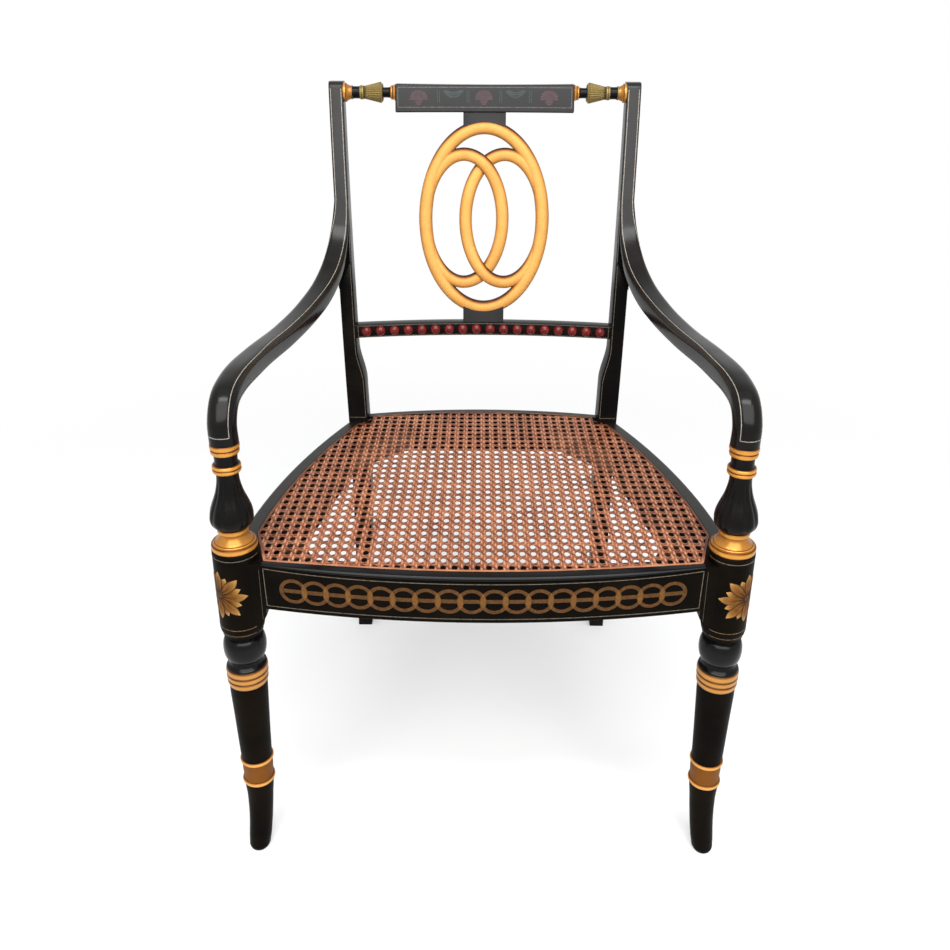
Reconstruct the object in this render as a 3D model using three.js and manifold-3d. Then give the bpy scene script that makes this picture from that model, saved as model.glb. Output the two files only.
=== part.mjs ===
// Open armchair: ebonised and gilt frame, caned seat, and a carved splat of interlaced ovals.
// Millimetres. X is to the right as seen from the front, Y to the back, Z up.
// While the pieces are made, Y is zero on the axis of the front legs at the seat.
import * as THREE from 'three';
import { mergeGeometries, mergeVertices } from 'three/addons/utils/BufferGeometryUtils.js';
import Module from 'manifold-3d';

const wasm = await Module();
wasm.setup();

// Whole chair
const overallHeight = 857;
const seatHeight = 418;
const postHalfSpan = 263.6;       // axis of a front leg from the middle, at the seat
const seatDepth = 358;            // from the front legs' axis to the face of the back posts
const clearance = 0.3;            // between pieces that meet
const overrun = 2;                // how far a cutter passes the face that it cuts

// Seat rails
const railHeight = 57;
const railEdge = 4;               // rounding of the outer top edge
const frontRailSetback = 7;       // rail's face behind the front of the leg's block
const frontRailEndDepth = 20;
const frontBow = 23;
const frontInnerBow = 13;
const sideRailReach = 7;          // rail's face outside the leg's axis, at the front
const sideRailFrontDepth = 42;
const sideRailRearDepth = 20;
const sideBow = 15.6;
const rearRailDepth = 18;
const rearRailSetback = 4;        // rail's back face in front of the post's back
const rearBow = 18;
const rearInnerBow = 14;

// Mortise and tenon joints of the rails
const tenonThickness = 9;
const tenonLength = 14;
const tenonShoulder = 9;          // tenon below the rail's top and above its underside
const sideTenonInset = 16;        // side rail's front tenon inside the leg's axis
const rearTenonInset = 11;        // side rail's rear tenon inside the post's outer face

// Front legs
const blockRadius = 24.4;
const blockRise = 12.5;           // round block above the rails
const blockDrop = 38;             // round block below the rails
const legLean = 0.0331;           // outward lean, a ratio
const footKick = 20;              // forward curve of the foot
const footFlare = 4;              // outward curve of the foot
const heelReach = 30;             // squared heel towards the middle
const heelOutset = 8;             // squared heel behind the axis, outwards
const heelTaper = 32;
const heelTipShare = 0.62;        // reach of the heel's lower end
const turningSides = 14;
// Heights of the leg below its block, with how far its axis has gone outwards and forwards there
const legRouteShares = [
  [0, 0.33, 1], [0.046, 0, 0.9], [0.139, -0.58, 0.72], [0.248, -0.85, 0.54], [0.37, -0.7, 0.36],
  [0.5, -0.35, 0.22], [0.62, -0.15, 0.11], [0.74, 0, 0.04], [0.93, 0, 0], [1, 0, 0],
];
const legProfileShares = [
  [0, 0.38], [0.005, 0.48], [0.018, 0.53], [0.06, 0.562], [0.173, 0.592], [0.26, 0.635], [0.312, 0.7],
  [0.32, 0.785], [0.334, 0.8], [0.342, 0.755], [0.404, 0.765], [0.411, 0.81], [0.425, 0.81], [0.431, 0.765],
  [0.542, 0.778], [0.65, 0.826], [0.735, 0.872], [0.745, 0.92], [0.76, 0.955], [0.775, 0.92], [0.79, 0.98],
  [0.806, 0.93], [0.825, 0.985], [0.84, 0.93], [0.848, 0.87], [0.868, 0.865], [0.883, 0.9], [0.905, 0.965],
  [0.93, 0.985], [0.95, 0.955], [0.966, 0.9], [0.976, 0.86], [0.985, 0.86], [0.991, 0.92],
];

// Arm supports
const supportHeight = 120;
const supportTenonRadius = 8;
const supportTenonLength = 18;
const supportProfileShares = [
  [0, 0.945], [0.014, 0.98], [0.039, 0.98], [0.05, 0.935], [0.072, 0.83], [0.093, 0.725], [0.122, 0.63],
  [0.143, 0.605], [0.16, 0.63], [0.18, 0.655], [0.197, 0.63], [0.205, 0.62], [0.218, 0.72], [0.239, 0.84],
  [0.264, 0.907], [0.297, 0.935], [0.334, 0.923], [0.376, 0.883], [0.426, 0.802], [0.476, 0.714],
  [0.526, 0.633], [0.576, 0.573], [0.634, 0.52], [0.688, 0.496], [0.725, 0.508], [0.742, 0.577],
  [0.763, 0.617], [0.784, 0.58], [0.804, 0.605], [0.825, 0.556], [0.842, 0.496], [0.892, 0.496],
  [0.917, 0.565], [0.938, 0.605], [0.958, 0.577], [0.979, 0.617], [1, 0.589],
];

// Back posts and rear legs, one piece each
const postTopOuter = 203.3;       // outer face from the middle, at the top
const postSeatOuter = 191.2;
const postFootOuter = 211;
const postTopWidth = 18.8;
const postSeatWidth = 27;
const postFootWidth = 23;
const postTopDepth = 24;
const postSeatDepth = 35;
const postFootDepth = 27;
const backRake = 44;              // straight part of the lean of the back
const backCurveDepth = 48;        // curved part of the lean of the back
const legSweep = 80;              // how far the rear leg sweeps back
const sweepPowerShare = 1.8;      // how late the sweep comes, lower down
const splayPowerShare = 1.5;
const ogeeBottom = 54;            // swelling of the post above the seat
const ogeeTop = 104;
const postCorner = 3;             // chamfer of the post's long edges
const postCrown = 7;              // rounded top of the post
const crownSetbackShares = [[0.67, 0.2], [1, 0.8]];
const postRingsBelow = 9;
const ogeeRings = 5;
const postRingsAbove = 9;

// Arms
const armWidth = 30;
const armThickness = 28;
const armScrollHeight = 48.2;     // rise of the arm above its support
const armLapDrop = 141;           // top of the arm's lap below the post's top
const armScarfThickness = 9;
const armLapInnerHeight = 90;     // lap's lower edge below its top, at the post's inner side
const armLapOuterHeight = 112;
const armLapProud = 8;
const armLapSink = 6;
const armSteps = 26;
const armSides = 12;
const armSquareShare = 0.62;      // section past the scroll: 1 is an ellipse, 0 a rectangle
const armSquareFromShare = 0.25;  // of the arm's length, where its section has grown square
// Width and thickness of the arm along its length
const armSectionShares = [
  [0, 0.98, 0.98], [0.12, 0.93, 0.93], [0.3, 0.86, 0.86], [0.55, 0.86, 0.86], [0.7, 0.91, 0.86],
  [0.82, 0.92, 0.65], [0.9, 0.8, 0.45], [1, 0.627, 0.32],
];
// Across and back from the support to the lap, up the scroll, and from the scroll to the lap's top
const armRouteShares = [
  [0, 0, 0, 0], [0.005, 0.001, 0.428, 0], [0.025, 0.028, 0.804, 0], [0.055, 0.1, 0.975, 0],
  [0.165, 0.27, 1, 0], [0.365, 0.48, 1, -0.013], [0.575, 0.66, 1, 0.042], [0.75, 0.79, 1, 0.16],
  [0.88, 0.885, 1, 0.357], [0.965, 0.955, 1, 0.661], [1, 1, 1, 1],
];

// Screw of the arm, behind the post
const armScrewDrop = 40;          // screw below the top of the lap
const armScrewRadius = 2.4;
const armScrewHeadRadius = 4.4;
const armScrewHeadDepth = 3;
const armScrewLength = 28;
const plugRadius = 5.5;
const plugDepth = 4;

// Crest
const tabletHalfLength = 116.3;
const tabletHeight = 32;
const tabletThickness = 17;
const tabletTopDrop = 2.5;        // tablet's top below the posts' tops
const tabletBow = 6;
const tabletEdge = 2;
const spindleRadius = 12.8;
const spindlePinRadius = 4;
const spindlePinLength = 10;
const spindleDrop = 13;           // spindle's axis below the posts' tops
const spindleSides = 12;
const spindleProfileShares = [
  [0, 0.88], [0.05, 0.9], [0.11, 0.84], [0.15, 0.68], [0.165, 0.6], [0.29, 0.6], [0.305, 0.67], [0.355, 0.65],
  [0.37, 0.58], [0.67, 1], [0.705, 0.98], [0.725, 0.8], [0.74, 0.52], [0.83, 0.5], [0.85, 0.62], [0.91, 0.8],
  [0.96, 0.84], [1, 0.8],
];

// Splat
const ovalHalfWidth = 88;         // outer oval, to its outer edge
const ovalBandWidth = 18;
const ovalDepth = 14;
const ovalSteps = 44;
const innerOvalHalfWidth = 60.8;
const innerOvalHeightShare = 0.7517;  // of the outer oval's height
const innerOvalOffset = 27.3;
const innerOvalBandWidth = 17;
const innerOvalDepth = 12;
const innerOvalSteps = 36;
const interlaceLift = 3.2;        // how far a band rises over the other where they cross
const interlaceReachShare = 0.11;
const splatBlockHalfWidth = 28;
const splatBlockDepth = 12;
const splatUpperBlockHeight = 13;
const splatLowerBlockHeight = 17;
const splatTenonHalfWidth = 20;
const splatTenonThickness = 6;
const splatTenonLength = 8;
const ovalSectionSides = 6;
const ovalBackShare = 0.8;        // width of a band's flat back to the band

// Cross rail and its beads
const crossRailHeight = 18.2;
const crossRailTop = 135.8;       // above the seat
const crossRailDepth = 18;
const crossRailBow = 16;
const crossRailSetback = 1.5;
const crossTenonHeight = 11;
const crossTenonThickness = 8;
const crossTenonLength = 12;
const beadCount = 18;
const beadRadius = 6.4;
const beadHeight = 5.6;
const beadPitch = 19;
const beadSides = 10;
const beadRings = 3;

// Cane seat
const frontRim = 12;              // wood left showing between a rail's face and the cane
const sideRim = 17;
const rearRim = 12;
const postRim = 5;
const cornerCut = 48;             // behind the legs' axis, where the cane's corner is cut off
const caneThickness = 2;
const caneSink = 0.4;             // cane's top below the rails' top
const netPitch = 33;
const netHole = 17;
const bindingWidth = 6;
const bindingThickness = 1.2;
const railSteps = 10;

// Corner blocks under the seat
const cornerBlockHeight = 30;
const cornerBlockReach = 58;
const cornerBlockRise = 6;
const cornerScrewRadius = 2.2;
const cornerScrewHeadRadius = 4.2;
const cornerScrewHeadDepth = 2.5;
const cornerScrewFrontLength = 52;
const cornerScrewRearLength = 38;
const screwSides = 10;

// Finishes
const FINISHES = {
  lacquer: { color: 0x1d1b1a, roughness: 0.28, metalness: 0 },
  gilt: { color: 0xd99a3e, roughness: 0.42, metalness: 0.35 },
  cane: { color: 0xb8734f, roughness: 0.6, metalness: 0 },
  bead: { color: 0x7c1f1c, roughness: 0.3, metalness: 0 },
  beech: { color: 0xb98f5c, roughness: 0.75, metalness: 0 },
  steel: { color: 0x9a9a98, roughness: 0.4, metalness: 0.9 },
};

// Levels and faces that the pieces share
const railBottom = seatHeight - railHeight;
const blockBottom = railBottom - blockDrop;
const blockTop = seatHeight + blockRise;
const supportBase = blockTop + clearance;
const armEnd = supportBase + supportHeight + clearance;
const heelInnerX = postHalfSpan - heelReach;
const frontFaceEndY = frontRailSetback - blockRadius;
const postInnerX = postSeatOuter - postSeatWidth;
const backHeight = overallHeight - seatHeight;
const lapTop = overallHeight - armLapDrop;
const recessDepth = caneThickness + caneSink;
const slotDepth = tenonLength + clearance;

const mix = (from, to, share) => from + (to - from) * share;
const bowAt = (share) => 1 - share * share;
const smooth = (share) => {
  const held = Math.min(1, Math.max(0, share));
  return held * held * (3 - 2 * held);
};
const point = (x, y, z) => new THREE.Vector3(x, y, z);

// Closed skin from corners and triangles, turned right side out by its signed volume.
function closedSkin(corners, triangles) {
  const flat = corners.flatMap((corner) => corner.toArray());
  let volume = 0;
  for (const [a, b, c] of triangles) {
    volume += corners[a].dot(corners[b].clone().cross(corners[c]));
  }
  const outward = volume < 0 ? triangles.map(([a, b, c]) => [a, c, b]) : triangles;
  const geometry = new THREE.BufferGeometry();
  geometry.setAttribute('position', new THREE.Float32BufferAttribute(flat, 3));
  geometry.setIndex(outward.flat());
  return geometry;
}

// Flat cap over one ring; its triangles run the same way round as the ring.
function capTriangles(ring, offset) {
  const normal = point(0, 0, 0);
  ring.forEach((corner, i) => normal.add(corner.clone().cross(ring[(i + 1) % ring.length])));
  normal.normalize();
  const across = ring[1].clone().sub(ring[0]).normalize();
  const along = normal.clone().cross(across);
  const outline = ring.map((corner) => new THREE.Vector2(corner.dot(across), corner.dot(along)));
  return THREE.ShapeUtils.triangulateShape(outline, []).map(([a, b, c]) => {
    const turn = outline[b].clone().sub(outline[a]).cross(outline[c].clone().sub(outline[a]));
    return turn > 0 ? [a + offset, b + offset, c + offset] : [a + offset, c + offset, b + offset];
  });
}

// Loft through rings of equal counts; a closed loft joins its last ring to its first.
function loft(rings, closed = false) {
  const sides = rings[0].length;
  const triangles = [];
  const bands = closed ? rings.length : rings.length - 1;
  for (let band = 0; band < bands; band += 1) {
    const lower = band * sides;
    const upper = ((band + 1) % rings.length) * sides;
    for (let side = 0; side < sides; side += 1) {
      const next = (side + 1) % sides;
      triangles.push([lower + side, lower + next, upper + next]);
      triangles.push([lower + side, upper + next, upper + side]);
    }
  }
  if (!closed) {
    const last = rings.length - 1;
    triangles.push(...capTriangles(rings[0], 0).map(([a, b, c]) => [a, c, b]));
    triangles.push(...capTriangles(rings[last], last * sides));
  }
  return closedSkin(rings.flat(), triangles);
}

// Solid for joining and cutting, from any closed geometry.
function solid(geometry) {
  const bare = new THREE.BufferGeometry();
  bare.setAttribute('position', geometry.getAttribute('position').clone());
  if (geometry.index) {
    bare.setIndex(geometry.index.clone());
  }
  const merged = mergeVertices(bare);
  const kept = [];
  for (let i = 0; i < merged.index.count; i += 3) {
    const [a, b, c] = [0, 1, 2].map((corner) => merged.index.getX(i + corner));
    if (a !== b && b !== c && c !== a) {
      kept.push(a, b, c);
    }
  }
  const vertProperties = new Float32Array(merged.getAttribute('position').array);
  return new wasm.Manifold(new wasm.Mesh({ numProp: 3, vertProperties, triVerts: new Uint32Array(kept) }));
}

const join = (...geometries) => geometries.map(solid).reduce((whole, piece) => whole.add(piece));
const cut = (body, ...tools) => tools.map(solid).reduce((whole, tool) => whole.subtract(tool), body);

function geometryOf(body) {
  const mesh = body.getMesh();
  const geometry = new THREE.BufferGeometry();
  geometry.setAttribute('position', new THREE.Float32BufferAttribute(mesh.vertProperties, 3));
  geometry.setIndex(Array.from(mesh.triVerts));
  return geometry;
}

function mirrored(geometry) {
  const copy = geometry.clone().applyMatrix4(new THREE.Matrix4().makeScale(-1, 1, 1));
  const index = copy.index.array;
  for (let i = 0; i < index.length; i += 3) {
    [index[i + 1], index[i + 2]] = [index[i + 2], index[i + 1]];
  }
  return copy;
}

// Upright box between two corners.
function box(low, high) {
  const size = high.clone().sub(low);
  const middle = high.clone().add(low).multiplyScalar(0.5);
  return new THREE.BoxGeometry(size.x, size.y, size.z).translate(middle.x, middle.y, middle.z);
}

// Turned solid on the Z axis from [height, radius] pairs, closed on the axis at both ends.
function turned(profile, sides) {
  const outline = profile.map(([height, radius]) => new THREE.Vector2(radius, height));
  outline.unshift(new THREE.Vector2(0, profile[0][0]));
  outline.push(new THREE.Vector2(0, profile[profile.length - 1][0]));
  return new THREE.LatheGeometry(outline, sides).rotateX(Math.PI / 2);
}

const rod = (bottom, top, radius, sides) => turned([[bottom, radius], [top, radius]], sides);

// Moves each level of a turning onto a leaning or curved axis.
function onAxis(geometry, axisAt) {
  const places = geometry.getAttribute('position');
  for (let i = 0; i < places.count; i += 1) {
    const [x, y] = axisAt(places.getZ(i));
    places.setXY(i, places.getX(i) + x, places.getY(i) + y);
  }
  return geometry;
}

// Turning laid along a direction from a starting point.
function aimed(geometry, start, direction) {
  const turn = new THREE.Quaternion().setFromUnitVectors(point(0, 0, 1), direction.clone().normalize());
  return geometry.applyQuaternion(turn).translate(start.x, start.y, start.z);
}

// Row of a table at a place between its first and last, in straight steps between its own rows.
function tableAt(table, place) {
  const held = Math.min(table[table.length - 1][0], Math.max(table[0][0], place));
  const next = Math.max(1, table.findIndex((row) => row[0] >= held));
  const [from, to] = [table[next - 1], table[next]];
  return from.map((value, i) => mix(value, to[i], (held - from[0]) / (to[0] - from[0])));
}

// Axis of the front leg and arm support: a straight lean, with a curve outwards and forwards at the foot.
function legAxis(height) {
  const [, outward, forward] = tableAt(legRouteShares, height / blockBottom);
  return [postHalfSpan + legLean * (seatHeight - height) + footFlare * outward, -footKick * forward];
}

// Back post: its outer face, width, front face and depth at a height.
function postOuter(height) {
  if (height > seatHeight) {
    return mix(postSeatOuter, postTopOuter, (height - seatHeight) / backHeight);
  }
  const below = Math.max(0, (railBottom - height) / railBottom);
  return mix(postSeatOuter, postFootOuter, below ** splayPowerShare);
}

function postWidth(height) {
  if (height > railBottom) {
    const above = height - seatHeight;
    return mix(postSeatWidth, postTopWidth, smooth((above - ogeeBottom) / (ogeeTop - ogeeBottom)));
  }
  return mix(postFootWidth, postSeatWidth, height / railBottom);
}

function postFront(height) {
  if (height > seatHeight) {
    const share = (height - seatHeight) / backHeight;
    return seatDepth + backRake * share + backCurveDepth * share * share;
  }
  return seatDepth + legSweep * Math.max(0, (railBottom - height) / railBottom) ** sweepPowerShare;
}

function postDepth(height) {
  if (height > seatHeight) {
    return mix(postSeatDepth, postTopDepth, (height - seatHeight) / backHeight);
  }
  return mix(postFootDepth, postSeatDepth, Math.min(1, height / railBottom));
}

// Outlines of the seat in plan
const frontFaceY = (x) => frontFaceEndY - frontBow * bowAt(x / heelInnerX);
const frontInnerY = (x) => frontFaceEndY + frontRailEndDepth - frontInnerBow * bowAt(x / heelInnerX);
const sideShare = (y) => (y - blockRadius) / (seatDepth - blockRadius);
const sideFaceX = (y) => {
  const straight = mix(postHalfSpan + sideRailReach, postSeatOuter, sideShare(y));
  return straight + sideBow * bowAt(2 * sideShare(y) - 1);
};
const sideInnerX = (y) => {
  const frontInner = postHalfSpan + sideRailReach - sideRailFrontDepth;
  return mix(frontInner, postSeatOuter - sideRailRearDepth, sideShare(y));
};
const rearFaceEndY = seatDepth + postSeatDepth - rearRailSetback;
const rearFaceY = (x) => rearFaceEndY + rearBow * bowAt(x / postInnerX);
const rearInnerY = (x) => rearFaceEndY - rearRailDepth + rearInnerBow * bowAt(x / postInnerX);

// Ring of a rail's section between a point on its face and a point on its inner side.
function railRing(face, inner) {
  const inward = inner.clone().sub(face).normalize();
  const at = (reach, height) => {
    const spot = face.clone().addScaledVector(inward, reach);
    return point(spot.x, spot.y, height);
  };
  const top = seatHeight;
  const half = railEdge / 3;
  return [
    at(0, railBottom), at(0, top - railEdge), at(half, top - half), at(railEdge, top),
    point(inner.x, inner.y, top), point(inner.x, inner.y, railBottom),
  ];
}

function railLoft(from, to, faceAt, innerAt) {
  const rings = [];
  for (let step = 0; step <= railSteps; step += 1) {
    const place = mix(from, to, step / railSteps);
    rings.push(railRing(faceAt(place), innerAt(place)));
  }
  return loft(rings);
}

// Edge of the cane, inset from the rails' rim; right half from the front middle to the rear middle.
function caneHalfOutline(inset) {
  const points = [];
  const frontEnd = heelInnerX - clearance - inset;
  for (let step = 0; step <= railSteps; step += 1) {
    const x = frontEnd * step / railSteps;
    points.push(new THREE.Vector2(x, frontFaceY(x) + frontRim + inset));
  }
  const sideEnd = seatDepth - postRim - inset;
  for (let step = 0; step <= railSteps; step += 1) {
    const y = mix(cornerCut, sideEnd, step / railSteps);
    points.push(new THREE.Vector2(sideFaceX(y) - sideRim - inset, y));
  }
  const notchX = postInnerX - postRim - inset;
  points.push(new THREE.Vector2(notchX, sideEnd));
  for (let step = 0; step <= railSteps; step += 1) {
    const x = notchX * (1 - step / railSteps);
    points.push(new THREE.Vector2(x, rearFaceY(x) - rearRim - inset));
  }
  return points;
}

function caneOutline(inset) {
  const right = caneHalfOutline(inset);
  const left = right.slice(1, -1).reverse().map((spot) => new THREE.Vector2(-spot.x, spot.y));
  return [...right, ...left];
}

function plate(outline, bottom, top) {
  const shape = new THREE.Shape(outline);
  const settings = { depth: top - bottom, bevelEnabled: false };
  return new THREE.ExtrudeGeometry(shape, settings).translate(0, 0, bottom);
}

const seatRecess = () => plate(caneOutline(-clearance), seatHeight - recessDepth, seatHeight + overrun);

// Tenons of the rails, grown by the clearance where they cut a mortise
const tenonLow = railBottom + tenonShoulder;
const tenonHigh = seatHeight - tenonShoulder;

function frontTenon(grow) {
  const middle = frontFaceEndY + frontRailEndDepth / 2;
  const half = tenonThickness / 2 + grow;
  const low = point(heelInnerX - overrun, middle - half, tenonLow - grow);
  return box(low, point(heelInnerX + tenonLength + grow, middle + half, tenonHigh + grow));
}

function sideFrontTenon(grow) {
  const middle = postHalfSpan - sideTenonInset;
  const half = tenonThickness / 2 + grow;
  const low = point(middle - half, blockRadius - tenonLength - grow, tenonLow - grow);
  return box(low, point(middle + half, blockRadius + overrun, tenonHigh + grow));
}

function sideRearTenon(grow) {
  const middle = postSeatOuter - rearTenonInset;
  const half = tenonThickness / 2 + grow;
  const low = point(middle - half, seatDepth - overrun, tenonLow - grow);
  return box(low, point(middle + half, seatDepth + tenonLength + grow, tenonHigh + grow));
}

function rearTenon(grow) {
  const middle = rearFaceEndY - rearRailDepth / 2;
  const half = tenonThickness / 2 + grow;
  const low = point(postInnerX - overrun, middle - half, tenonLow - grow);
  return box(low, point(postInnerX + tenonLength + grow, middle + half, tenonHigh + grow));
}

// Round tenon of the arm support, on the leaning axis of the leg
function supportTenon(bottom, top, grow) {
  return onAxis(rod(bottom, top, supportTenonRadius + grow, screwSides), legAxis);
}

// Front leg: turning, round block and squared heel, cut for its joints
function frontLeg() {
  const profile = legProfileShares.map(([height, radius]) => [height * blockBottom, radius * blockRadius]);
  profile.push([blockBottom, blockRadius], [blockTop, blockRadius]);
  const turning = onAxis(turned(profile, turningSides), legAxis);
  const heelRing = (height, reach) => {
    const inner = mix(postHalfSpan, heelInnerX, reach);
    const outer = postHalfSpan + heelOutset * reach;
    const front = (frontFaceEndY - clearance) * reach;
    const rear = blockRadius * reach;
    return [
      point(inner, front, height), point(outer, front, height),
      point(outer, rear, height), point(inner, rear, height),
    ];
  };
  const heel = loft([
    heelRing(railBottom - heelTaper, heelTipShare),
    heelRing(railBottom - heelTaper / 4, 1),
    heelRing(seatHeight, 1),
  ]);
  const dowel = supportTenon(supportBase - supportTenonLength - clearance, supportBase + overrun, clearance);
  const body = join(turning, heel);
  return cut(
    body, frontTenon(clearance), sideFrontTenon(clearance), dowel, frontCornerScrew(clearance), seatRecess(),
  );
}

// Arm support: turned baluster with a round tenon at each end
function armSupport() {
  const profile = supportProfileShares.map(([height, radius]) => {
    return [supportBase + height * supportHeight, radius * blockRadius];
  });
  const baluster = onAxis(turned(profile, turningSides), legAxis);
  const top = supportBase + supportHeight;
  const dowel = supportTenon(supportBase - supportTenonLength, top + supportTenonLength, 0);
  return join(baluster, dowel);
}

// Route of the arm's middle from the support to the lap on the post
function armRoute() {
  const [startX, startY] = legAxis(armEnd);
  const endX = postOuter(lapTop) - postWidth(lapTop) / 2;
  const endY = postFront(lapTop) + armScarfThickness / 2;
  const scrollTop = armEnd + armScrollHeight;
  return new THREE.CatmullRomCurve3(armRouteShares.map(([across, back, scroll, climb]) => {
    const height = armEnd + scroll * armScrollHeight + climb * (lapTop - scrollTop);
    return point(mix(startX, endX, across), mix(startY, endY, back), height);
  }), false, 'centripetal');
}

// Rings of the arm: round where it meets the support, squarer and thinner towards the lap
function armRings(grow) {
  const route = armRoute();
  const rings = [];
  for (let step = 0; step <= armSteps; step += 1) {
    const share = step / armSteps;
    const middle = route.getPointAt(share);
    const along = route.getTangentAt(share);
    const up = point(1, 0, 0).cross(along).normalize();
    const side = along.clone().cross(up).normalize();
    const square = mix(1, armSquareShare, smooth(share / armSquareFromShare));
    const [, width, thickness] = tableAt(armSectionShares, share);
    const halfWidth = width * armWidth / 2 + grow;
    const halfThickness = thickness * armThickness / 2 + grow;
    const ring = [];
    for (let turn = 0; turn < armSides; turn += 1) {
      const angle = 2 * Math.PI * (turn + 0.5) / armSides;
      const across = Math.sign(Math.cos(angle)) * Math.abs(Math.cos(angle)) ** square;
      const over = Math.sign(Math.sin(angle)) * Math.abs(Math.sin(angle)) ** square;
      const corner = middle.clone().addScaledVector(side, across * halfWidth);
      ring.push(corner.addScaledVector(up, over * halfThickness));
    }
    rings.push(ring);
  }
  rings[0].forEach((corner) => corner.setZ(armEnd));
  const along = route.getTangentAt(1);
  rings[armSteps].forEach((corner) => corner.addScaledVector(along, grow));
  return rings;
}

// Lap of the arm on the post's face, with a slanting lower edge
function armLap(grow) {
  const at = (side, height, proud) => {
    const outer = postOuter(height);
    const x = side ? outer - postCorner + grow : outer - postWidth(height) + postCorner - grow;
    return point(x, postFront(height) - proud, height);
  };
  const top = lapTop - clearance + grow;
  const slant = (armLapOuterHeight - armLapInnerHeight) / postTopWidth;
  const drop = grow * (1 + slant);
  const innerLow = lapTop - armLapInnerHeight - drop;
  const outerLow = lapTop - armLapOuterHeight - drop;
  const ring = (proudLow, proudTop) => [
    at(false, innerLow, proudLow), at(true, outerLow, proudLow),
    at(true, top, proudTop), at(false, top, proudTop),
  ];
  return loft([ring(armLapProud + grow, grow), ring(-armLapSink - grow, -armLapSink - grow)]);
}

// Screw with a countersunk head, along +Z from its head
function screw(length, radius, headRadius, headDepth, grow) {
  const profile = [
    [-grow, headRadius + grow], [headDepth / 5, headRadius + grow], [headDepth, radius + grow],
    [length + grow, radius + grow],
  ];
  return turned(profile, screwSides);
}

// Arm's screw, from the back of the post into the lap
function armScrewPlace() {
  const height = lapTop - armScrewDrop;
  const x = postOuter(height) - postWidth(height) / 2;
  return point(x, postFront(height) + postDepth(height) - plugDepth - clearance, height);
}

function armScrew(grow) {
  const body = screw(armScrewLength, armScrewRadius, armScrewHeadRadius, armScrewHeadDepth, grow);
  return aimed(body, armScrewPlace(), point(0, -1, 0));
}

function armScrewPlug(grow) {
  const start = armScrewPlace().add(point(0, clearance - grow, 0));
  const length = plugDepth + (grow ? overrun : 0);
  return aimed(rod(0, length, plugRadius + grow, screwSides), start, point(0, 1, 0));
}

function arm() {
  const body = join(loft(armRings(0)), armLap(0));
  const top = armEnd + supportTenonLength + clearance;
  return cut(body, supportTenon(armEnd - overrun, top, clearance), armScrew(clearance));
}

// Post's section at a height, a rectangle with its long edges taken off
function postRing(height, crown, grow) {
  const outer = postOuter(height) + grow;
  const inner = postOuter(height) - postWidth(height) - grow;
  const front = postFront(height) + crown - grow;
  const rear = postFront(height) + postDepth(height) + grow;
  return [
    point(inner + postCorner, front, height), point(outer - postCorner, front, height),
    point(outer, front + postCorner, height), point(outer, rear - postCorner, height),
    point(outer - postCorner, rear, height), point(inner + postCorner, rear, height),
    point(inner, rear - postCorner, height), point(inner, front + postCorner, height),
  ];
}

function postSkin(grow) {
  const rings = [];
  for (let step = 0; step < postRingsBelow; step += 1) {
    rings.push(postRing(railBottom * step / postRingsBelow, 0, grow));
  }
  rings.push(postRing(railBottom, 0, grow), postRing(seatHeight, 0, grow));
  for (let step = 0; step <= ogeeRings; step += 1) {
    rings.push(postRing(seatHeight + mix(ogeeBottom, ogeeTop, step / ogeeRings), 0, grow));
  }
  for (let step = 1; step <= postRingsAbove; step += 1) {
    const height = mix(seatHeight + ogeeTop, overallHeight - postCrown, step / postRingsAbove);
    rings.push(postRing(height, 0, grow));
  }
  for (const [rise, setback] of crownSetbackShares) {
    rings.push(postRing(overallHeight - postCrown * (1 - rise), postCrown * setback, grow));
  }
  return loft(rings);
}

// Axis of the spindles at the posts' tops
function spindleAxis() {
  const height = overallHeight - spindleDrop;
  return { height, y: postFront(height) + tabletThickness / 2, x: postOuter(height) - postWidth(height) };
}

function spindlePin(from, to, grow) {
  const { y, height } = spindleAxis();
  const pin = rod(0, to - from, spindlePinRadius + grow, screwSides);
  return aimed(pin, point(from, y, height), point(1, 0, 0));
}

// Cross rail in plan: its face is bowed to the back
const crossLow = seatHeight + crossRailTop - crossRailHeight;
const crossHigh = seatHeight + crossRailTop;
const crossMiddle = (crossLow + crossHigh) / 2;
const crossEndX = postOuter(crossMiddle) - postWidth(crossMiddle);
const crossFaceY = (x) => postFront(crossMiddle) + crossRailSetback + crossRailBow * bowAt(x / crossEndX);

function crossTenon(grow) {
  const middle = crossFaceY(crossEndX) + crossRailDepth / 2;
  const half = crossTenonThickness / 2 + grow;
  const rise = crossTenonHeight / 2 + grow;
  const low = point(crossEndX - overrun, middle - half, crossMiddle - rise);
  return box(low, point(crossEndX + crossTenonLength + grow, middle + half, crossMiddle + rise));
}

function rearLeg() {
  const pinStart = spindleAxis().x;
  const pin = spindlePin(pinStart - overrun, pinStart + spindlePinLength + clearance, clearance);
  return cut(
    solid(postSkin(0)),
    loft(armRings(clearance)), armLap(clearance), sideRearTenon(clearance), rearTenon(clearance),
    crossTenon(clearance), pin, armScrew(clearance), armScrewPlug(clearance),
    rearCornerScrew(clearance),
  );
}

// Seat rails
function frontRail() {
  const end = heelInnerX - clearance;
  const face = (x) => new THREE.Vector2(x, frontFaceY(x));
  const inner = (x) => new THREE.Vector2(x, frontInnerY(x));
  const tenon = frontTenon(0);
  return cut(join(railLoft(-end, end, face, inner), tenon, mirrored(tenon)), seatRecess());
}

function sideRail() {
  const face = (y) => new THREE.Vector2(sideFaceX(y), y);
  const inner = (y) => new THREE.Vector2(sideInnerX(y), y);
  const body = railLoft(blockRadius + clearance, seatDepth - clearance, face, inner);
  return cut(join(body, sideFrontTenon(0), sideRearTenon(0)), seatRecess());
}

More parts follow.
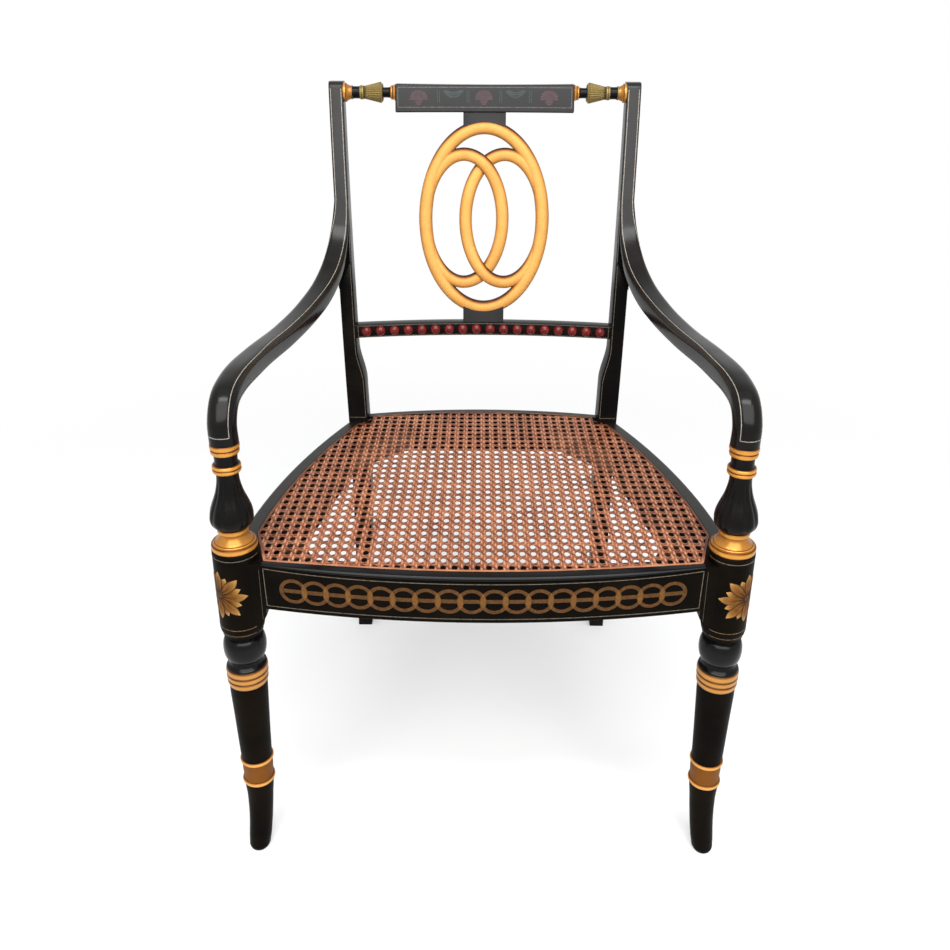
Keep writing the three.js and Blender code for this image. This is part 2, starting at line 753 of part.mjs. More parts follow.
function rearRail() {
  const end = postInnerX - clearance;
  const face = (x) => new THREE.Vector2(x, rearFaceY(x));
  const inner = (x) => new THREE.Vector2(x, rearInnerY(x));
  const tenon = rearTenon(0);
  return cut(join(railLoft(-end, end, face, inner), tenon, mirrored(tenon)), seatRecess());
}

// Corner blocks: one behind each front leg, one notched round each post
const cornerLow = railBottom + cornerBlockRise;
const cornerHigh = cornerLow + cornerBlockHeight;

function frontCornerOutline() {
  const gap = 2 * clearance;
  const sideAt = (y) => new THREE.Vector2(sideInnerX(y) - gap, y);
  const frontAt = (x) => new THREE.Vector2(x, frontInnerY(x) + gap);
  const nearX = heelInnerX - cornerBlockRise;
  return [
    frontAt(nearX - cornerBlockReach), frontAt(nearX), sideAt(blockRadius + cornerBlockRise),
    sideAt(blockRadius + cornerBlockReach),
  ];
}

function rearCornerOutline() {
  const gap = 2 * clearance;
  const sideAt = (y) => new THREE.Vector2(sideInnerX(y) - gap, y);
  const rearAt = (x) => new THREE.Vector2(x, rearInnerY(x) - gap);
  const nearX = postInnerX - gap;
  const nearY = seatDepth - gap;
  return [
    sideAt(nearY - cornerBlockReach), sideAt(nearY), new THREE.Vector2(nearX, nearY), rearAt(nearX),
    rearAt(nearX - cornerBlockReach),
  ];
}

// A corner block's screw starts in the middle of its slanting side and points into the corner.
function cornerScrewLine(outline, target) {
  const first = outline[0];
  const last = outline[outline.length - 1];
  const start = point((first.x + last.x) / 2, (first.y + last.y) / 2, (cornerLow + cornerHigh) / 2);
  return { start, direction: point(target.x - start.x, target.y - start.y, 0).normalize() };
}

function cornerScrew({ start, direction }, length, grow) {
  const head = start.clone().addScaledVector(direction, clearance - grow);
  const body = screw(length + grow, cornerScrewRadius, cornerScrewHeadRadius, cornerScrewHeadDepth, grow);
  return aimed(body, head, direction);
}

function frontCornerScrew(grow) {
  const line = cornerScrewLine(frontCornerOutline(), new THREE.Vector2(postHalfSpan, 0));
  return cornerScrew(line, cornerScrewFrontLength, grow);
}

function rearCornerScrew(grow) {
  const target = new THREE.Vector2(postSeatOuter - postSeatWidth / 2, seatDepth + postSeatDepth / 2);
  return cornerScrew(cornerScrewLine(rearCornerOutline(), target), cornerScrewRearLength, grow);
}

function cornerBlock(outline, screwBody) {
  return cut(solid(plate(outline, cornerLow, cornerHigh)), screwBody);
}

// Cane: a flat net in the recess of the rails, and the strip round its edge
function canePanel() {
  const top = seatHeight - caneSink;
  const outline = caneOutline(0);
  const margin = caneHalfOutline(bindingWidth);
  const inside = (x, y) => {
    const corner = new THREE.Vector2(Math.abs(x), y);
    return margin.some((spot, i) => {
      const next = margin[(i + 1) % margin.length];
      const crosses = (spot.y > corner.y) !== (next.y > corner.y);
      return crosses && corner.x < mix(spot.x, next.x, (corner.y - spot.y) / (next.y - spot.y));
    });
  };
  const gaps = [];
  const half = netHole / 2;
  const middleY = (frontFaceY(0) + rearFaceY(0)) / 2;
  const columns = Math.floor(postHalfSpan / netPitch);
  const rows = Math.floor(seatDepth / netPitch / 2) + 1;
  for (let row = -rows; row <= rows; row += 1) {
    for (let column = -columns; column <= columns; column += 1) {
      const x = column * netPitch;
      const y = middleY + row * netPitch;
      const low = point(x - half, y - half, top - caneThickness - overrun);
      const high = point(x + half, y + half, top + overrun);
      if (inside(low.x, low.y) && inside(low.x, high.y) && inside(high.x, low.y) && inside(high.x, high.y)) {
        gaps.push(box(low, high));
      }
    }
  }
  return cut(solid(plate(outline, top - caneThickness, top)), mergeGeometries(gaps));
}

function caneBinding() {
  const bottom = seatHeight - caneSink + clearance;
  const inner = plate(caneOutline(bindingWidth), bottom - overrun, bottom + bindingThickness + overrun);
  return cut(solid(plate(caneOutline(clearance), bottom, bottom + bindingThickness)), inner);
}

// Splat: its plane leans from the cross rail's middle to the tablet's underside.
const tabletHigh = overallHeight - tabletTopDrop;
const tabletLow = tabletHigh - tabletHeight;
const tabletEndY = (height) => postFront(height);
const tabletFaceY = (x, height) => tabletEndY(height) + tabletBow * bowAt(x / tabletHalfLength);
const splatFoot = point(0, crossFaceY(0) + crossRailDepth / 2, crossHigh);
const splatHead = point(0, tabletFaceY(0, tabletLow) + tabletThickness / 2, tabletLow);
const splatLength = splatHead.distanceTo(splatFoot);
const splatTilt = Math.atan2(splatHead.y - splatFoot.y, splatHead.z - splatFoot.z);
const ovalHalfHeight = (splatLength - splatUpperBlockHeight - splatLowerBlockHeight) / 2;
const ovalCentre = splatLowerBlockHeight + ovalHalfHeight;

// From the splat's own plane, Z up along it, to its place in the back
function onSplat(geometry) {
  return geometry.rotateX(-splatTilt).translate(splatFoot.x, splatFoot.y, splatFoot.z);
}

// Band of an oval with a rounded front and a flatter back; lift moves it to the front.
function ovalBandRings({ halfWidth, halfHeight, offset, band, depth, steps, liftAt, grow }) {
  const rings = [];
  for (let step = 0; step < steps; step += 1) {
    const angle = 2 * Math.PI * step / steps;
    const radiusX = halfWidth - band / 2;
    const radiusZ = halfHeight - band / 2;
    const across = offset + radiusX * Math.cos(angle);
    const middle = point(across, -liftAt(angle), ovalCentre + radiusZ * Math.sin(angle));
    const outward = point(radiusZ * Math.cos(angle), 0, radiusX * Math.sin(angle)).normalize();
    const ring = [];
    for (let turn = 0; turn < ovalSectionSides; turn += 1) {
      const sweep = Math.PI * turn / (ovalSectionSides - 1);
      const reach = Math.cos(sweep) * (band / 2 + grow);
      const front = -Math.sin(sweep) * (depth / 2 + grow);
      ring.push(middle.clone().addScaledVector(outward, reach).add(point(0, front, 0)));
    }
    const backReach = band / 2 * ovalBackShare + grow;
    ring.push(middle.clone().addScaledVector(outward, -backReach).add(point(0, depth / 2 + grow, 0)));
    ring.push(middle.clone().addScaledVector(outward, backReach).add(point(0, depth / 2 + grow, 0)));
    rings.push(ring);
  }
  return rings;
}

function outerOval(grow = 0) {
  return loft(ovalBandRings({
    halfWidth: ovalHalfWidth, halfHeight: ovalHalfHeight, offset: 0, band: ovalBandWidth, depth: ovalDepth,
    steps: ovalSteps, liftAt: () => 0, grow,
  }), true);
}

// The left oval passes over at the top and under at the bottom; the right one the other way round.
function innerOval(side) {
  const radiusX = innerOvalHalfWidth - innerOvalBandWidth / 2;
  const crossing = Math.acos(innerOvalOffset / radiusX);
  const reach = interlaceReachShare * 2 * Math.PI;
  const near = (angle, place) => {
    const apart = Math.abs(((angle - place + 3 * Math.PI) % (2 * Math.PI)) - Math.PI);
    return smooth(1 - apart / reach);
  };
  const upper = side < 0 ? crossing : Math.PI - crossing;
  const liftAt = (angle) => -side * interlaceLift * (near(angle, upper) - near(angle, 2 * Math.PI - upper));
  return loft(ovalBandRings({
    halfWidth: innerOvalHalfWidth, halfHeight: ovalHalfHeight * innerOvalHeightShare,
    offset: side * innerOvalOffset,
    band: innerOvalBandWidth, depth: innerOvalDepth, steps: innerOvalSteps, liftAt, grow: 0,
  }), true);
}

// Tenons at the four ends of the splat's blocks, in the splat's own plane
function splatTenon(from, to, grow) {
  const half = splatTenonThickness / 2 + grow;
  const wide = splatTenonHalfWidth + grow;
  return box(point(-wide, -half, from - grow), point(wide, half, to + grow));
}

const ovalFoot = ovalCentre - ovalHalfHeight;
const ovalHead = ovalCentre + ovalHalfHeight;
const ovalFootTenon = (grow) => splatTenon(ovalFoot - overrun, ovalFoot + splatTenonLength, grow);
const ovalHeadTenon = (grow) => splatTenon(ovalHead - splatTenonLength, ovalHead + overrun, grow);
const footTenon = (grow) => onSplat(splatTenon(-splatTenonLength, overrun, grow));
const headTenon = (grow) => onSplat(splatTenon(splatLength - overrun, splatLength + splatTenonLength, grow));

function splatRings() {
  const rings = join(outerOval(), innerOval(-1), innerOval(1));
  return cut(rings, ovalFootTenon(clearance), ovalHeadTenon(clearance));
}

// Solid disc inside the outer oval's rim, to shape the blocks' curved ends
function ovalDisc() {
  const outline = [];
  for (let step = 0; step < 2 * ovalSteps; step += 1) {
    const angle = Math.PI * step / ovalSteps;
    const x = (ovalHalfWidth + clearance) * Math.cos(angle);
    outline.push(new THREE.Vector2(x, (ovalHalfHeight + clearance) * Math.sin(angle)));
  }
  return plate(outline, -ovalBandWidth, ovalBandWidth).rotateX(Math.PI / 2).translate(0, 0, ovalCentre);
}

function splatBlockBody(from, to) {
  const half = splatBlockDepth / 2;
  return box(point(-splatBlockHalfWidth, -half, from), point(splatBlockHalfWidth, half, to));
}

function splatUpperBlock() {
  const body = cut(solid(splatBlockBody(ovalHead - splatTenonLength, splatLength + overrun)), ovalDisc());
  const placed = solid(onSplat(geometryOf(body.add(solid(ovalHeadTenon(0))))));
  return placed.subtract(solid(tabletSkin(clearance))).add(solid(headTenon(0)));
}

function splatLowerBlock() {
  const body = cut(solid(splatBlockBody(-overrun, ovalFoot + splatTenonLength)), ovalDisc());
  const placed = solid(onSplat(geometryOf(body.add(solid(ovalFootTenon(0))))));
  return placed.subtract(solid(crossRailSkin(clearance))).add(solid(footTenon(0)));
}

// Crest tablet, bowed to the back, with its edges taken off
function tabletSkin(grow) {
  const rings = [];
  for (let step = 0; step <= railSteps; step += 1) {
    const x = mix(-tabletHalfLength - grow, tabletHalfLength + grow, step / railSteps);
    const low = tabletLow - grow;
    const high = tabletHigh + grow;
    const at = (height, back) => point(x, tabletFaceY(x, height) + back, height);
    const front = -grow;
    const rear = tabletThickness + grow;
    rings.push([
      at(low, front + tabletEdge), at(low + tabletEdge, front), at(high - tabletEdge, front),
      at(high, front + tabletEdge), at(high, rear - tabletEdge), at(high - tabletEdge, rear),
      at(low + tabletEdge, rear), at(low, rear - tabletEdge),
    ]);
  }
  return loft(rings);
}

function crestTablet() {
  const pinStart = tabletHalfLength - spindlePinLength - clearance;
  const pin = spindlePin(pinStart, tabletHalfLength + overrun, clearance);
  return cut(solid(tabletSkin(0)), pin, mirrored(pin), headTenon(clearance));
}

function crestSpindle() {
  const { x: postX, y, height } = spindleAxis();
  const start = postX + overrun / 2;
  const length = start - tabletHalfLength - clearance;
  const profile = spindleProfileShares.map(([along, radius]) => [along * length, radius * spindleRadius]);
  const body = aimed(turned(profile, spindleSides), point(start, y, height), point(-1, 0, 0));
  const pin = spindlePin(tabletHalfLength - spindlePinLength, postX + spindlePinLength, 0);
  return cut(solid(body), postSkin(clearance)).add(solid(pin));
}

// Cross rail
function crossRailSkin(grow) {
  const rings = [];
  const end = crossEndX + overrun;
  for (let step = 0; step <= railSteps; step += 1) {
    const x = mix(-end, end, step / railSteps);
    const front = crossFaceY(x) - grow;
    const rear = crossFaceY(x) + crossRailDepth + grow;
    rings.push([
      point(x, front, crossLow - grow), point(x, front, crossHigh + grow),
      point(x, rear, crossHigh + grow), point(x, rear, crossLow - grow),
    ]);
  }
  return loft(rings);
}

function backCrossRail() {
  const post = postSkin(clearance);
  const tenon = crossTenon(0);
  const body = cut(solid(crossRailSkin(0)), post, mirrored(post), footTenon(clearance));
  return body.add(solid(tenon)).add(solid(mirrored(tenon)));
}

// Half bead on the cross rail's face, square to its curve
function bead(x) {
  const profile = [];
  for (let ring = 0; ring <= beadRings; ring += 1) {
    const angle = Math.PI / 2 * ring / beadRings;
    profile.push([beadHeight * Math.sin(angle), beadRadius * Math.cos(angle)]);
  }
  profile[beadRings][1] = 0;
  const slope = 2 * crossRailBow * x / (crossEndX * crossEndX);
  const forward = point(-slope, -1, 0).normalize();
  const seatGap = clearance + beadRadius * beadRadius * crossRailBow / (crossEndX * crossEndX);
  const start = point(x, crossFaceY(x), crossMiddle).addScaledVector(forward, seatGap);
  return solid(aimed(turned(profile, beadSides), start, forward));
}

// Assembly
const chair = new THREE.Group();

function addPiece(name, body, finish) {
  const geometry = body.isBufferGeometry ? body : geometryOf(body);
  geometry.computeVertexNormals();
  const mesh = new THREE.Mesh(geometry, new THREE.MeshStandardMaterial(FINISHES[finish]));
  mesh.name = name;
  chair.add(mesh);
}

function addPair(name, body, finish) {
  const right = geometryOf(body);
  addPiece(`${name}_left`, mirrored(right), finish);
  addPiece(`${name}_right`, right, finish);
}

addPair('front_leg', frontLeg(), 'lacquer');
addPair('arm_support', armSupport(), 'lacquer');
addPair('arm', arm(), 'lacquer');
addPair('arm_screw', solid(armScrew(0)), 'steel');
addPair('arm_screw_plug', solid(armScrewPlug(0)), 'lacquer');
addPair('rear_leg', rearLeg(), 'lacquer');
addPiece('front_rail', frontRail(), 'lacquer');
addPair('side_rail', sideRail(), 'lacquer');
addPiece('rear_rail', rearRail(), 'lacquer');
addPair('corner_block_front', cornerBlock(frontCornerOutline(), frontCornerScrew(clearance)), 'beech');
addPair('corner_block_rear', cornerBlock(rearCornerOutline(), rearCornerScrew(clearance)), 'beech');
addPair('corner_screw_front', solid(frontCornerScrew(0)), 'steel');
addPair('corner_screw_rear', solid(rearCornerScrew(0)), 'steel');
addPiece('cane_panel', canePanel(), 'cane');
addPiece('cane_binding', caneBinding(), 'cane');
addPiece('crest_tablet', crestTablet(), 'lacquer');
addPair('crest_spindle', crestSpindle(), 'gilt');
addPiece('splat_rings', solid(onSplat(geometryOf(splatRings()))), 'gilt');
addPiece('splat_upper_block', splatUpperBlock(), 'lacquer');
addPiece('splat_lower_block', splatLowerBlock(), 'lacquer');
addPiece('back_cross_rail', backCrossRail(), 'lacquer');
for (let i = 0; i < beadCount; i += 1) {
  const x = (i - (beadCount - 1) / 2) * beadPitch;
  addPiece(`bead_${String(i + 1).padStart(2, '0')}`, bead(x), 'bead');
}

// The chair's own origin is on the floor, under the middle of its whole outline.
const outlineBox = new THREE.Box3().setFromObject(chair);
const middle = outlineBox.getCenter(point(0, 0, 0));
chair.position.set(-middle.x, -middle.y, -outlineBox.min.z);

export default chair;
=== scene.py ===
# %% [markdown]
# # An ebonised and gilt armchair with a caned seat
#
# The real chair is beech, blackened and lacquered, with gold leaf on its carved and turned ornament, painted
# gold lines, red beads on the cross rail, and a seat woven of split cane. The CAD model already says where
# every joint and every piece is. This lesson dresses it: each visible piece is a finer form of the CAD node
# that it stands for, worked out with numpy, and each finish is a node material built from what it really is.

# %% The frame
import math

import bpy
import numpy as np
from mathutils import Matrix, Vector


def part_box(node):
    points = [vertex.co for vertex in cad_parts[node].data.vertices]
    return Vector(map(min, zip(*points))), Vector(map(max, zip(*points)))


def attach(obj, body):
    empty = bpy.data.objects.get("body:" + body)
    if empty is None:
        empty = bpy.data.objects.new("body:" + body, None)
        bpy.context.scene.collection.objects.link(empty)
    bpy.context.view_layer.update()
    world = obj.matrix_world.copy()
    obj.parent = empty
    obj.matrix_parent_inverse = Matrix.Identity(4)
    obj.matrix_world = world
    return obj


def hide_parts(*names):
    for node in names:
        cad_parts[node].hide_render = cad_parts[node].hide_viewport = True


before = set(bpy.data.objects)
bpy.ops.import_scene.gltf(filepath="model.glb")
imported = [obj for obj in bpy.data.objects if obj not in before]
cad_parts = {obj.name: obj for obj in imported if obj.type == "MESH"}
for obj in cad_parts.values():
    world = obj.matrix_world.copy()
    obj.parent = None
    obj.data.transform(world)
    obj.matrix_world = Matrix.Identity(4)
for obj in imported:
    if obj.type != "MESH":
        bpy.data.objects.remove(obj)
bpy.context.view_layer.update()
print("CAD nodes:", len(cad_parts))

# %% [markdown]
# ## Units and the maker's own frame
#
# A chair maker measures in millimetres from the front legs, so the shapes below do too: X is to the right as
# seen from the front, Y runs back from the axis of the front legs, Z goes up from the floor. Blender works in
# metres in the frame of the CAD model, so one function moves finished points there.

# %% Sizes that many pieces share, in millimetres
MM = 0.001
overall_height = 857.0
seat_height = 418.0
post_half_span = 263.6
seat_depth = 358.0
rail_height = 57.0
block_radius = 24.4
block_rise = 12.5
block_drop = 38.0
joint_gap = 0.3
rail_bottom = seat_height - rail_height
block_bottom = rail_bottom - block_drop
block_top = seat_height + block_rise
back_height = overall_height - seat_height

axis_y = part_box("front_leg_right")[1][1] / MM - block_radius


def to_frame(points):
    """Points in the maker's millimetres become metres in the CAD model's frame."""
    return (points + np.array([0.0, axis_y, 0.0])) * MM


print("front legs' axis in the frame:", round(axis_y * MM, 4), "m")

# %% [markdown]
# ## Surfaces as grids
#
# Nearly every piece here is a grid of points: rows along the piece, columns round it. A turned leg, a rail and
# a strand of cane differ only in the formula that fills the grid. The formulas need a few plain tools first: a
# straight blend, an eased one, and a smooth curve through given values.

# %% Blends and curves


def mix(start, end, share):
    """Straight blend from start to end: start + (end - start) * share."""
    return start + (end - start) * share


def smooth_step(share):
    """Eases from 0 to 1: 3 s^2 - 2 s^3, held outside that range."""
    held = np.clip(share, 0.0, 1.0)
    return held * held * (3 - 2 * held)


def curve_through(places, values, at):
    """Cubic Hermite curve through the given values, its slope at each place taken from both neighbours."""
    places, values, at = (np.asarray(x, float) for x in (places, values, at))
    slope = np.gradient(values, places)
    i = np.clip(np.searchsorted(places, at) - 1, 0, len(places) - 2)
    span = places[i + 1] - places[i]
    t = np.clip((at - places[i]) / span, 0.0, 1.0)
    first = (1 + 2 * t) * (1 - t) ** 2 * values[i] + t * (1 - t) ** 2 * span * slope[i]
    return first + t * t * (3 - 2 * t) * values[i + 1] + t * t * (t - 1) * span * slope[i + 1]


def evenly(points, count):
    """Points at even steps of length along a path."""
    length = np.concatenate([[0], np.linalg.norm(np.diff(points, axis=0), axis=1).cumsum()])
    even = np.linspace(0, length[-1], count)
    return np.column_stack([np.interp(even, length, column) for column in points.T])


def unit(vectors):
    """Each vector divided by its length."""
    return vectors / np.maximum(np.linalg.norm(vectors, axis=-1, keepdims=True), 1e-12)


print("a curve through 0, 1 and 4 gives", round(float(curve_through([0, 1, 2], [0, 1, 4], 1.5)), 2), "at 1.5")

# %% [markdown]
# A closed piece has no open end and its faces look outwards. So a grid gets a pole at each end, and is turned
# round if its volume comes out negative. A fourth value per point, its tone, tells the finish where it is dark.

# %% Closed grids


def capped(grid):
    """Adds a pole, the middle of the end row, before the first row and after the last."""
    first = np.repeat(grid[:1].mean(axis=1, keepdims=True), grid.shape[1], axis=1)
    last = np.repeat(grid[-1:].mean(axis=1, keepdims=True), grid.shape[1], axis=1)
    return np.concatenate([first, grid, last])


def outward(grid):
    """Turns a closed grid round if its signed volume, a sum of a . (b x c) / 6 over its faces, is negative."""
    place = grid[..., :3] - grid[..., :3].reshape(-1, 3).mean(axis=0)
    a, b, c, d = place[:-1, :-1], place[:-1, 1:], place[1:, 1:], place[1:, :-1]
    volume = np.einsum("...i,...i", a, np.cross(b, c)).sum() + np.einsum("...i,...i", a, np.cross(c, d)).sum()
    return grid[:, ::-1] if volume < 0 else grid


def toned(grid, tone):
    """A grid with a fourth value, its tone: 0 in a dark recess or on a dark strand, 1 on a bright one."""
    return np.concatenate([grid, np.broadcast_to(tone, grid.shape[:2])[..., None]], axis=-1)


print("a capped grid of 2 rows has", len(capped(np.zeros((2, 4, 3)))), "rows")

# %% [markdown]
# Several grids make one piece. Where a grid comes back to its start, or shrinks to a point at a pole, its doubled
# points are merged, so that each piece is a closed skin. A quad with a merged side becomes a triangle, and one
# that shrinks to a line is dropped.

# %% From grids to faces
merge_places = 2000               # points are compared to 1 / 2000 mm


def merged(grids):
    """Corners, tones, faces, sizes of the faces and UV in millimetres (round the grid, along it) of all grids."""
    corners, keys, loop_uv, quads, tone = [], [], [], [], []
    start = 0
    for number, grid in enumerate(grids):
        grid = outward(grid if grid.shape[-1] == 4 else toned(grid, 0.5))
        rows, columns = grid.shape[:2]
        index = start + np.arange(rows * columns).reshape(rows, columns)
        quads.append(np.stack([index[:-1, :-1], index[:-1, 1:], index[1:, 1:], index[1:, :-1]], -1).reshape(-1, 4))
        tone.append(grid[..., 3].ravel())
        grid = grid[..., :3]
        flat = grid.reshape(-1, 3)
        corners.append(flat)
        keys.append(np.column_stack([np.full(len(flat), number), np.round(flat * merge_places)]).astype(np.int64))
        along = np.linalg.norm(np.diff(grid.mean(axis=1), axis=0, prepend=grid[:1].mean(axis=1)), axis=1)
        across = np.linalg.norm(np.diff(grid, axis=1, prepend=grid[:, :1]), axis=2).cumsum(axis=1)
        loop_uv.append(np.stack([across, np.repeat(along.cumsum()[:, None], columns, 1)], -1).reshape(-1, 2))
        start += rows * columns
    corners, keys, loop_uv, quads, tone = (np.concatenate(x) for x in (corners, keys, loop_uv, quads, tone))
    _, first, inverse = np.unique(keys, axis=0, return_index=True, return_inverse=True)
    faces = inverse.reshape(-1)[quads]
    kept = faces != np.roll(faces, 1, axis=1)
    sizes = kept.sum(axis=1)
    kept &= (sizes >= 3)[:, None]
    return corners[first], tone[first], faces[kept], sizes[sizes >= 3], loop_uv[quads[kept]]


print("a strip of 4 points makes", len(merged([np.arange(12.0).reshape(2, 2, 3)])[3]), "face")

# %% [markdown]
# The arrays go into the mesh as they are. The piece keeps its place in its mesh, rides on the chair's one body,
# takes its material, and hides the CAD nodes that it replaces. Edges sharper than a set angle stay crisp. Most
# pieces come in pairs, so a second function makes the mirror image too.

# %% From faces to pieces


def new_piece(name, grids, material, slot, replaces=(), sharp=38.0):
    """One object from closed grids in millimetres."""
    corners, tone, faces, sizes, loop_uv = merged(grids)
    mesh = bpy.data.meshes.new(name)
    mesh.vertices.add(len(corners))
    mesh.vertices.foreach_set("co", to_frame(corners).astype(np.float32).ravel())
    mesh.loops.add(len(faces))
    mesh.loops.foreach_set("vertex_index", faces.astype(np.int32))
    mesh.polygons.add(len(sizes))
    mesh.polygons.foreach_set("loop_start", np.concatenate([[0], sizes.cumsum()[:-1]]).astype(np.int32))
    mesh.update(calc_edges=True)
    mesh.uv_layers.new(name="surface_mm").data.foreach_set("uv", loop_uv.astype(np.float32).ravel())
    mesh.attributes.new("tone", "FLOAT", "POINT").data.foreach_set("value", tone.astype(np.float32))
    mesh.validate()
    mesh.shade_smooth()
    mesh.set_sharp_from_angle(angle=math.radians(sharp))
    mesh.materials.append(material)
    piece = bpy.data.objects.new(name, mesh)
    bpy.context.scene.collection.objects.link(piece)
    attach(piece, "root")
    if replaces:
        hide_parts(*replaces)
    return piece


def both_sides(name, grids, material, slot, replaces=()):
    """A right-hand piece and its mirror image. NODE in the replaced names becomes left or right."""
    for side, factor in (("left", -1.0), ("right", 1.0)):
        nodes = [node.replace("NODE", side) for node in replaces]
        turned = [g * np.array([factor] + [1.0] * (g.shape[-1] - 1)) for g in grids]
        new_piece(f"{name}_{side}", turned, material, slot, nodes)


# %% [markdown]
# ## Finishes
#
# Colours are written as they look, in sRGB, and one function makes them linear for Cycles. One function adds a
# node. Patterns are scaled from real sizes: Object coordinates are metres, so a pattern that repeats every 2 mm
# has a scale of 500.

# %% Helpers for finishes


def linear(colour):
    """sRGB hex to linear RGBA: c / 12.92 below 0.04045, else ((c + 0.055) / 1.055) ^ 2.4."""
    channels = [int(colour[i:i + 2], 16) / 255 for i in (1, 3, 5)]
    return (*[c / 12.92 if c <= 0.04045 else ((c + 0.055) / 1.055) ** 2.4 for c in channels], 1.0)


def fill(tree, made, inputs):
    """Fills a node's inputs: another node's socket is linked, and a plain value is written."""
    for key, value in dict(inputs).items():
        if isinstance(value, bpy.types.NodeSocket):
            tree.links.new(value, made.inputs[key])
        else:
            made.inputs[key].default_value = value


def node(tree, kind, inputs=(), stops=(), **settings):
    """Adds a node, sets its properties, fills its inputs, and gives a colour ramp its (place, colour) stops."""
    made = tree.nodes.new(kind)
    for key, value in settings.items():
        setattr(made, key, value)
    fill(tree, made, inputs)
    if stops:
        elements = made.color_ramp.elements
        while len(elements) < len(stops):
            elements.new(0.5)
        for element, (place, colour) in zip(elements, stops):
            element.position, element.color = place, linear(colour)
    return made


def coat(tree, shader, share, stops, inputs, height=None, strength=0.1, depth=0.0002):
    """Colours a shader by a ramp over share, fills its other inputs, and roughens it by a bump over height."""
    colour = node(tree, "ShaderNodeValToRGB", {"Fac": share}, stops)
    fill(tree, shader, {"Base Color": colour.outputs["Color"], **inputs})
    if height is not None:
        bump = node(tree, "ShaderNodeBump", {"Height": height, "Strength": strength, "Distance": depth})
        fill(tree, shader, {"Normal": bump.outputs["Normal"]})


def new_finish(name):
    """An empty material with its Principled shader and its Object coordinates."""
    material = bpy.data.materials.new(name)
    material.use_nodes = True
    tree = material.node_tree
    shader = next(n for n in tree.nodes if n.type == "BSDF_PRINCIPLED")
    return material, tree, shader, node(tree, "ShaderNodeTexCoord").outputs["Object"]


print("mid grey #808080 is", round(linear("#808080")[0], 3), "in linear light")

# %% [markdown]
# Blackened beech is stained and then built up with many coats of shellac. The eye sees a nearly black, slightly
# brown ground, a soft shine from a film that was rubbed by hand, and a worn, browner patch here and there. Hands
# and backs polish the tablet and the arms, so these mirror the most. The blocks and rails stay dull, and the
# turned pieces, burnished on the lathe, lie between. One function makes them all.

# %% Ebonised lacquer


def ebonised_lacquer(name, ground, worn, shine, smoothest):
    """Black shellac on beech: a brown that shows through, beech grain, and a film that mirrors by its shine.

    Clouds of wear are about 55 mm across, rubbing marks 14 mm, and the grain is 1 mm wide and 17 mm long. The
    index is shellac's, 1.5.
    """
    material, tree, shader, place = new_finish(name)
    clouds = node(tree, "ShaderNodeTexNoise", {"Vector": place, "Scale": 18.0, "Detail": 5.0, "Roughness": 0.6})
    grain_place = node(tree, "ShaderNodeMapping", {"Vector": place, "Scale": (900.0, 900.0, 60.0)})
    grain = node(tree, "ShaderNodeTexNoise", {"Vector": grain_place.outputs[0], "Scale": 1.0, "Detail": 3.0})
    rub = node(tree, "ShaderNodeTexNoise", {"Vector": place, "Scale": 70.0, "Detail": 6.0, "Roughness": 0.65})
    gloss = node(tree, "ShaderNodeMapRange", {
        "Value": rub.outputs["Fac"], "To Min": smoothest, "To Max": smoothest + 0.2,
    })
    coat(tree, shader, clouds.outputs["Fac"], [(0.42, ground), (0.75, worn)], {
        "Roughness": gloss.outputs[0], "IOR": 1.5, "Specular IOR Level": shine,
    }, grain.outputs["Fac"])
    return material


# The tablet and upper neck: a clear, dark mirror.
polished_lacquer = ebonised_lacquer("polished_lacquer", "#08080a", "#14110f", 0.18, 0.15)
# The arms, worn smoothest by hands: a darker mirror with sharp highlights.
arm_lacquer = ebonised_lacquer("arm_lacquer", "#070707", "#14100c", 0.16, 0.08)
# The rails' top edges: a broad, soft grey sheen.
rubbed_lacquer = ebonised_lacquer("rubbed_lacquer", "#090807", "#17110b", 0.28, 0.28)
# The balls and the front rail's edge: deep black with a small bright highlight.
burnished_lacquer = ebonised_lacquer("burnished_lacquer", "#060607", "#0d0b09", 0.14, 0.08)
# The balusters, spindles and cross rail: black with a thin highlight.
turned_lacquer = ebonised_lacquer("turned_lacquer", "#060607", "#0e0b08", 0.1, 0.12)
# The legs, blocks and rails: a brownish black that hardly shines.
dull_lacquer = ebonised_lacquer("dull_lacquer", "#080604", "#120c06", 0.02, 0.3)
# Inside the rails there is stain without lacquer: flat and dry.
inside_stain = ebonised_lacquer("inside_stain", "#0a0705", "#1a110a", 0.02, 0.6)
print("lacquers:", [m.name for m in bpy.data.materials if m.name.endswith("lacquer")])

# %% [markdown]
# The posts are one plank, so their finish can't stop at a line. Their shine fades between two heights where the
# arms meet them, and the height is read from the Object coordinates. The fade is painted shade: below the arms, in
# their shadow, the posts mirror almost nothing.

# %% The posts' fading polish
post_shine, post_shaded_shine = 0.21, 0.02
shade_fade_low, shade_fade_high = 0.6, 0.65
# The posts: a soft grey sheen above the arms, and below them painted shade that leaves them flat black.
post_lacquer = ebonised_lacquer("post_lacquer", "#0b0a0a", "#17130f", post_shine, 0.2)
post_tree = post_lacquer.node_tree
post_place = node(post_tree, "ShaderNodeTexCoord").outputs["Object"]
post_height = node(post_tree, "ShaderNodeSeparateXYZ", {"Vector": post_place})
fade = node(post_tree, "ShaderNodeMapRange", {
    "Value": post_height.outputs["Z"], "From Min": shade_fade_low, "From Max": shade_fade_high,
    "To Min": post_shaded_shine, "To Max": post_shine,
}, interpolation_type="SMOOTHSTEP")
post_tree.links.new(fade.outputs[0], post_tree.nodes["Principled BSDF"].inputs["Specular IOR Level"])
print("the posts' polish fades from", shade_fade_high, "m down to", shade_fade_low, "m")
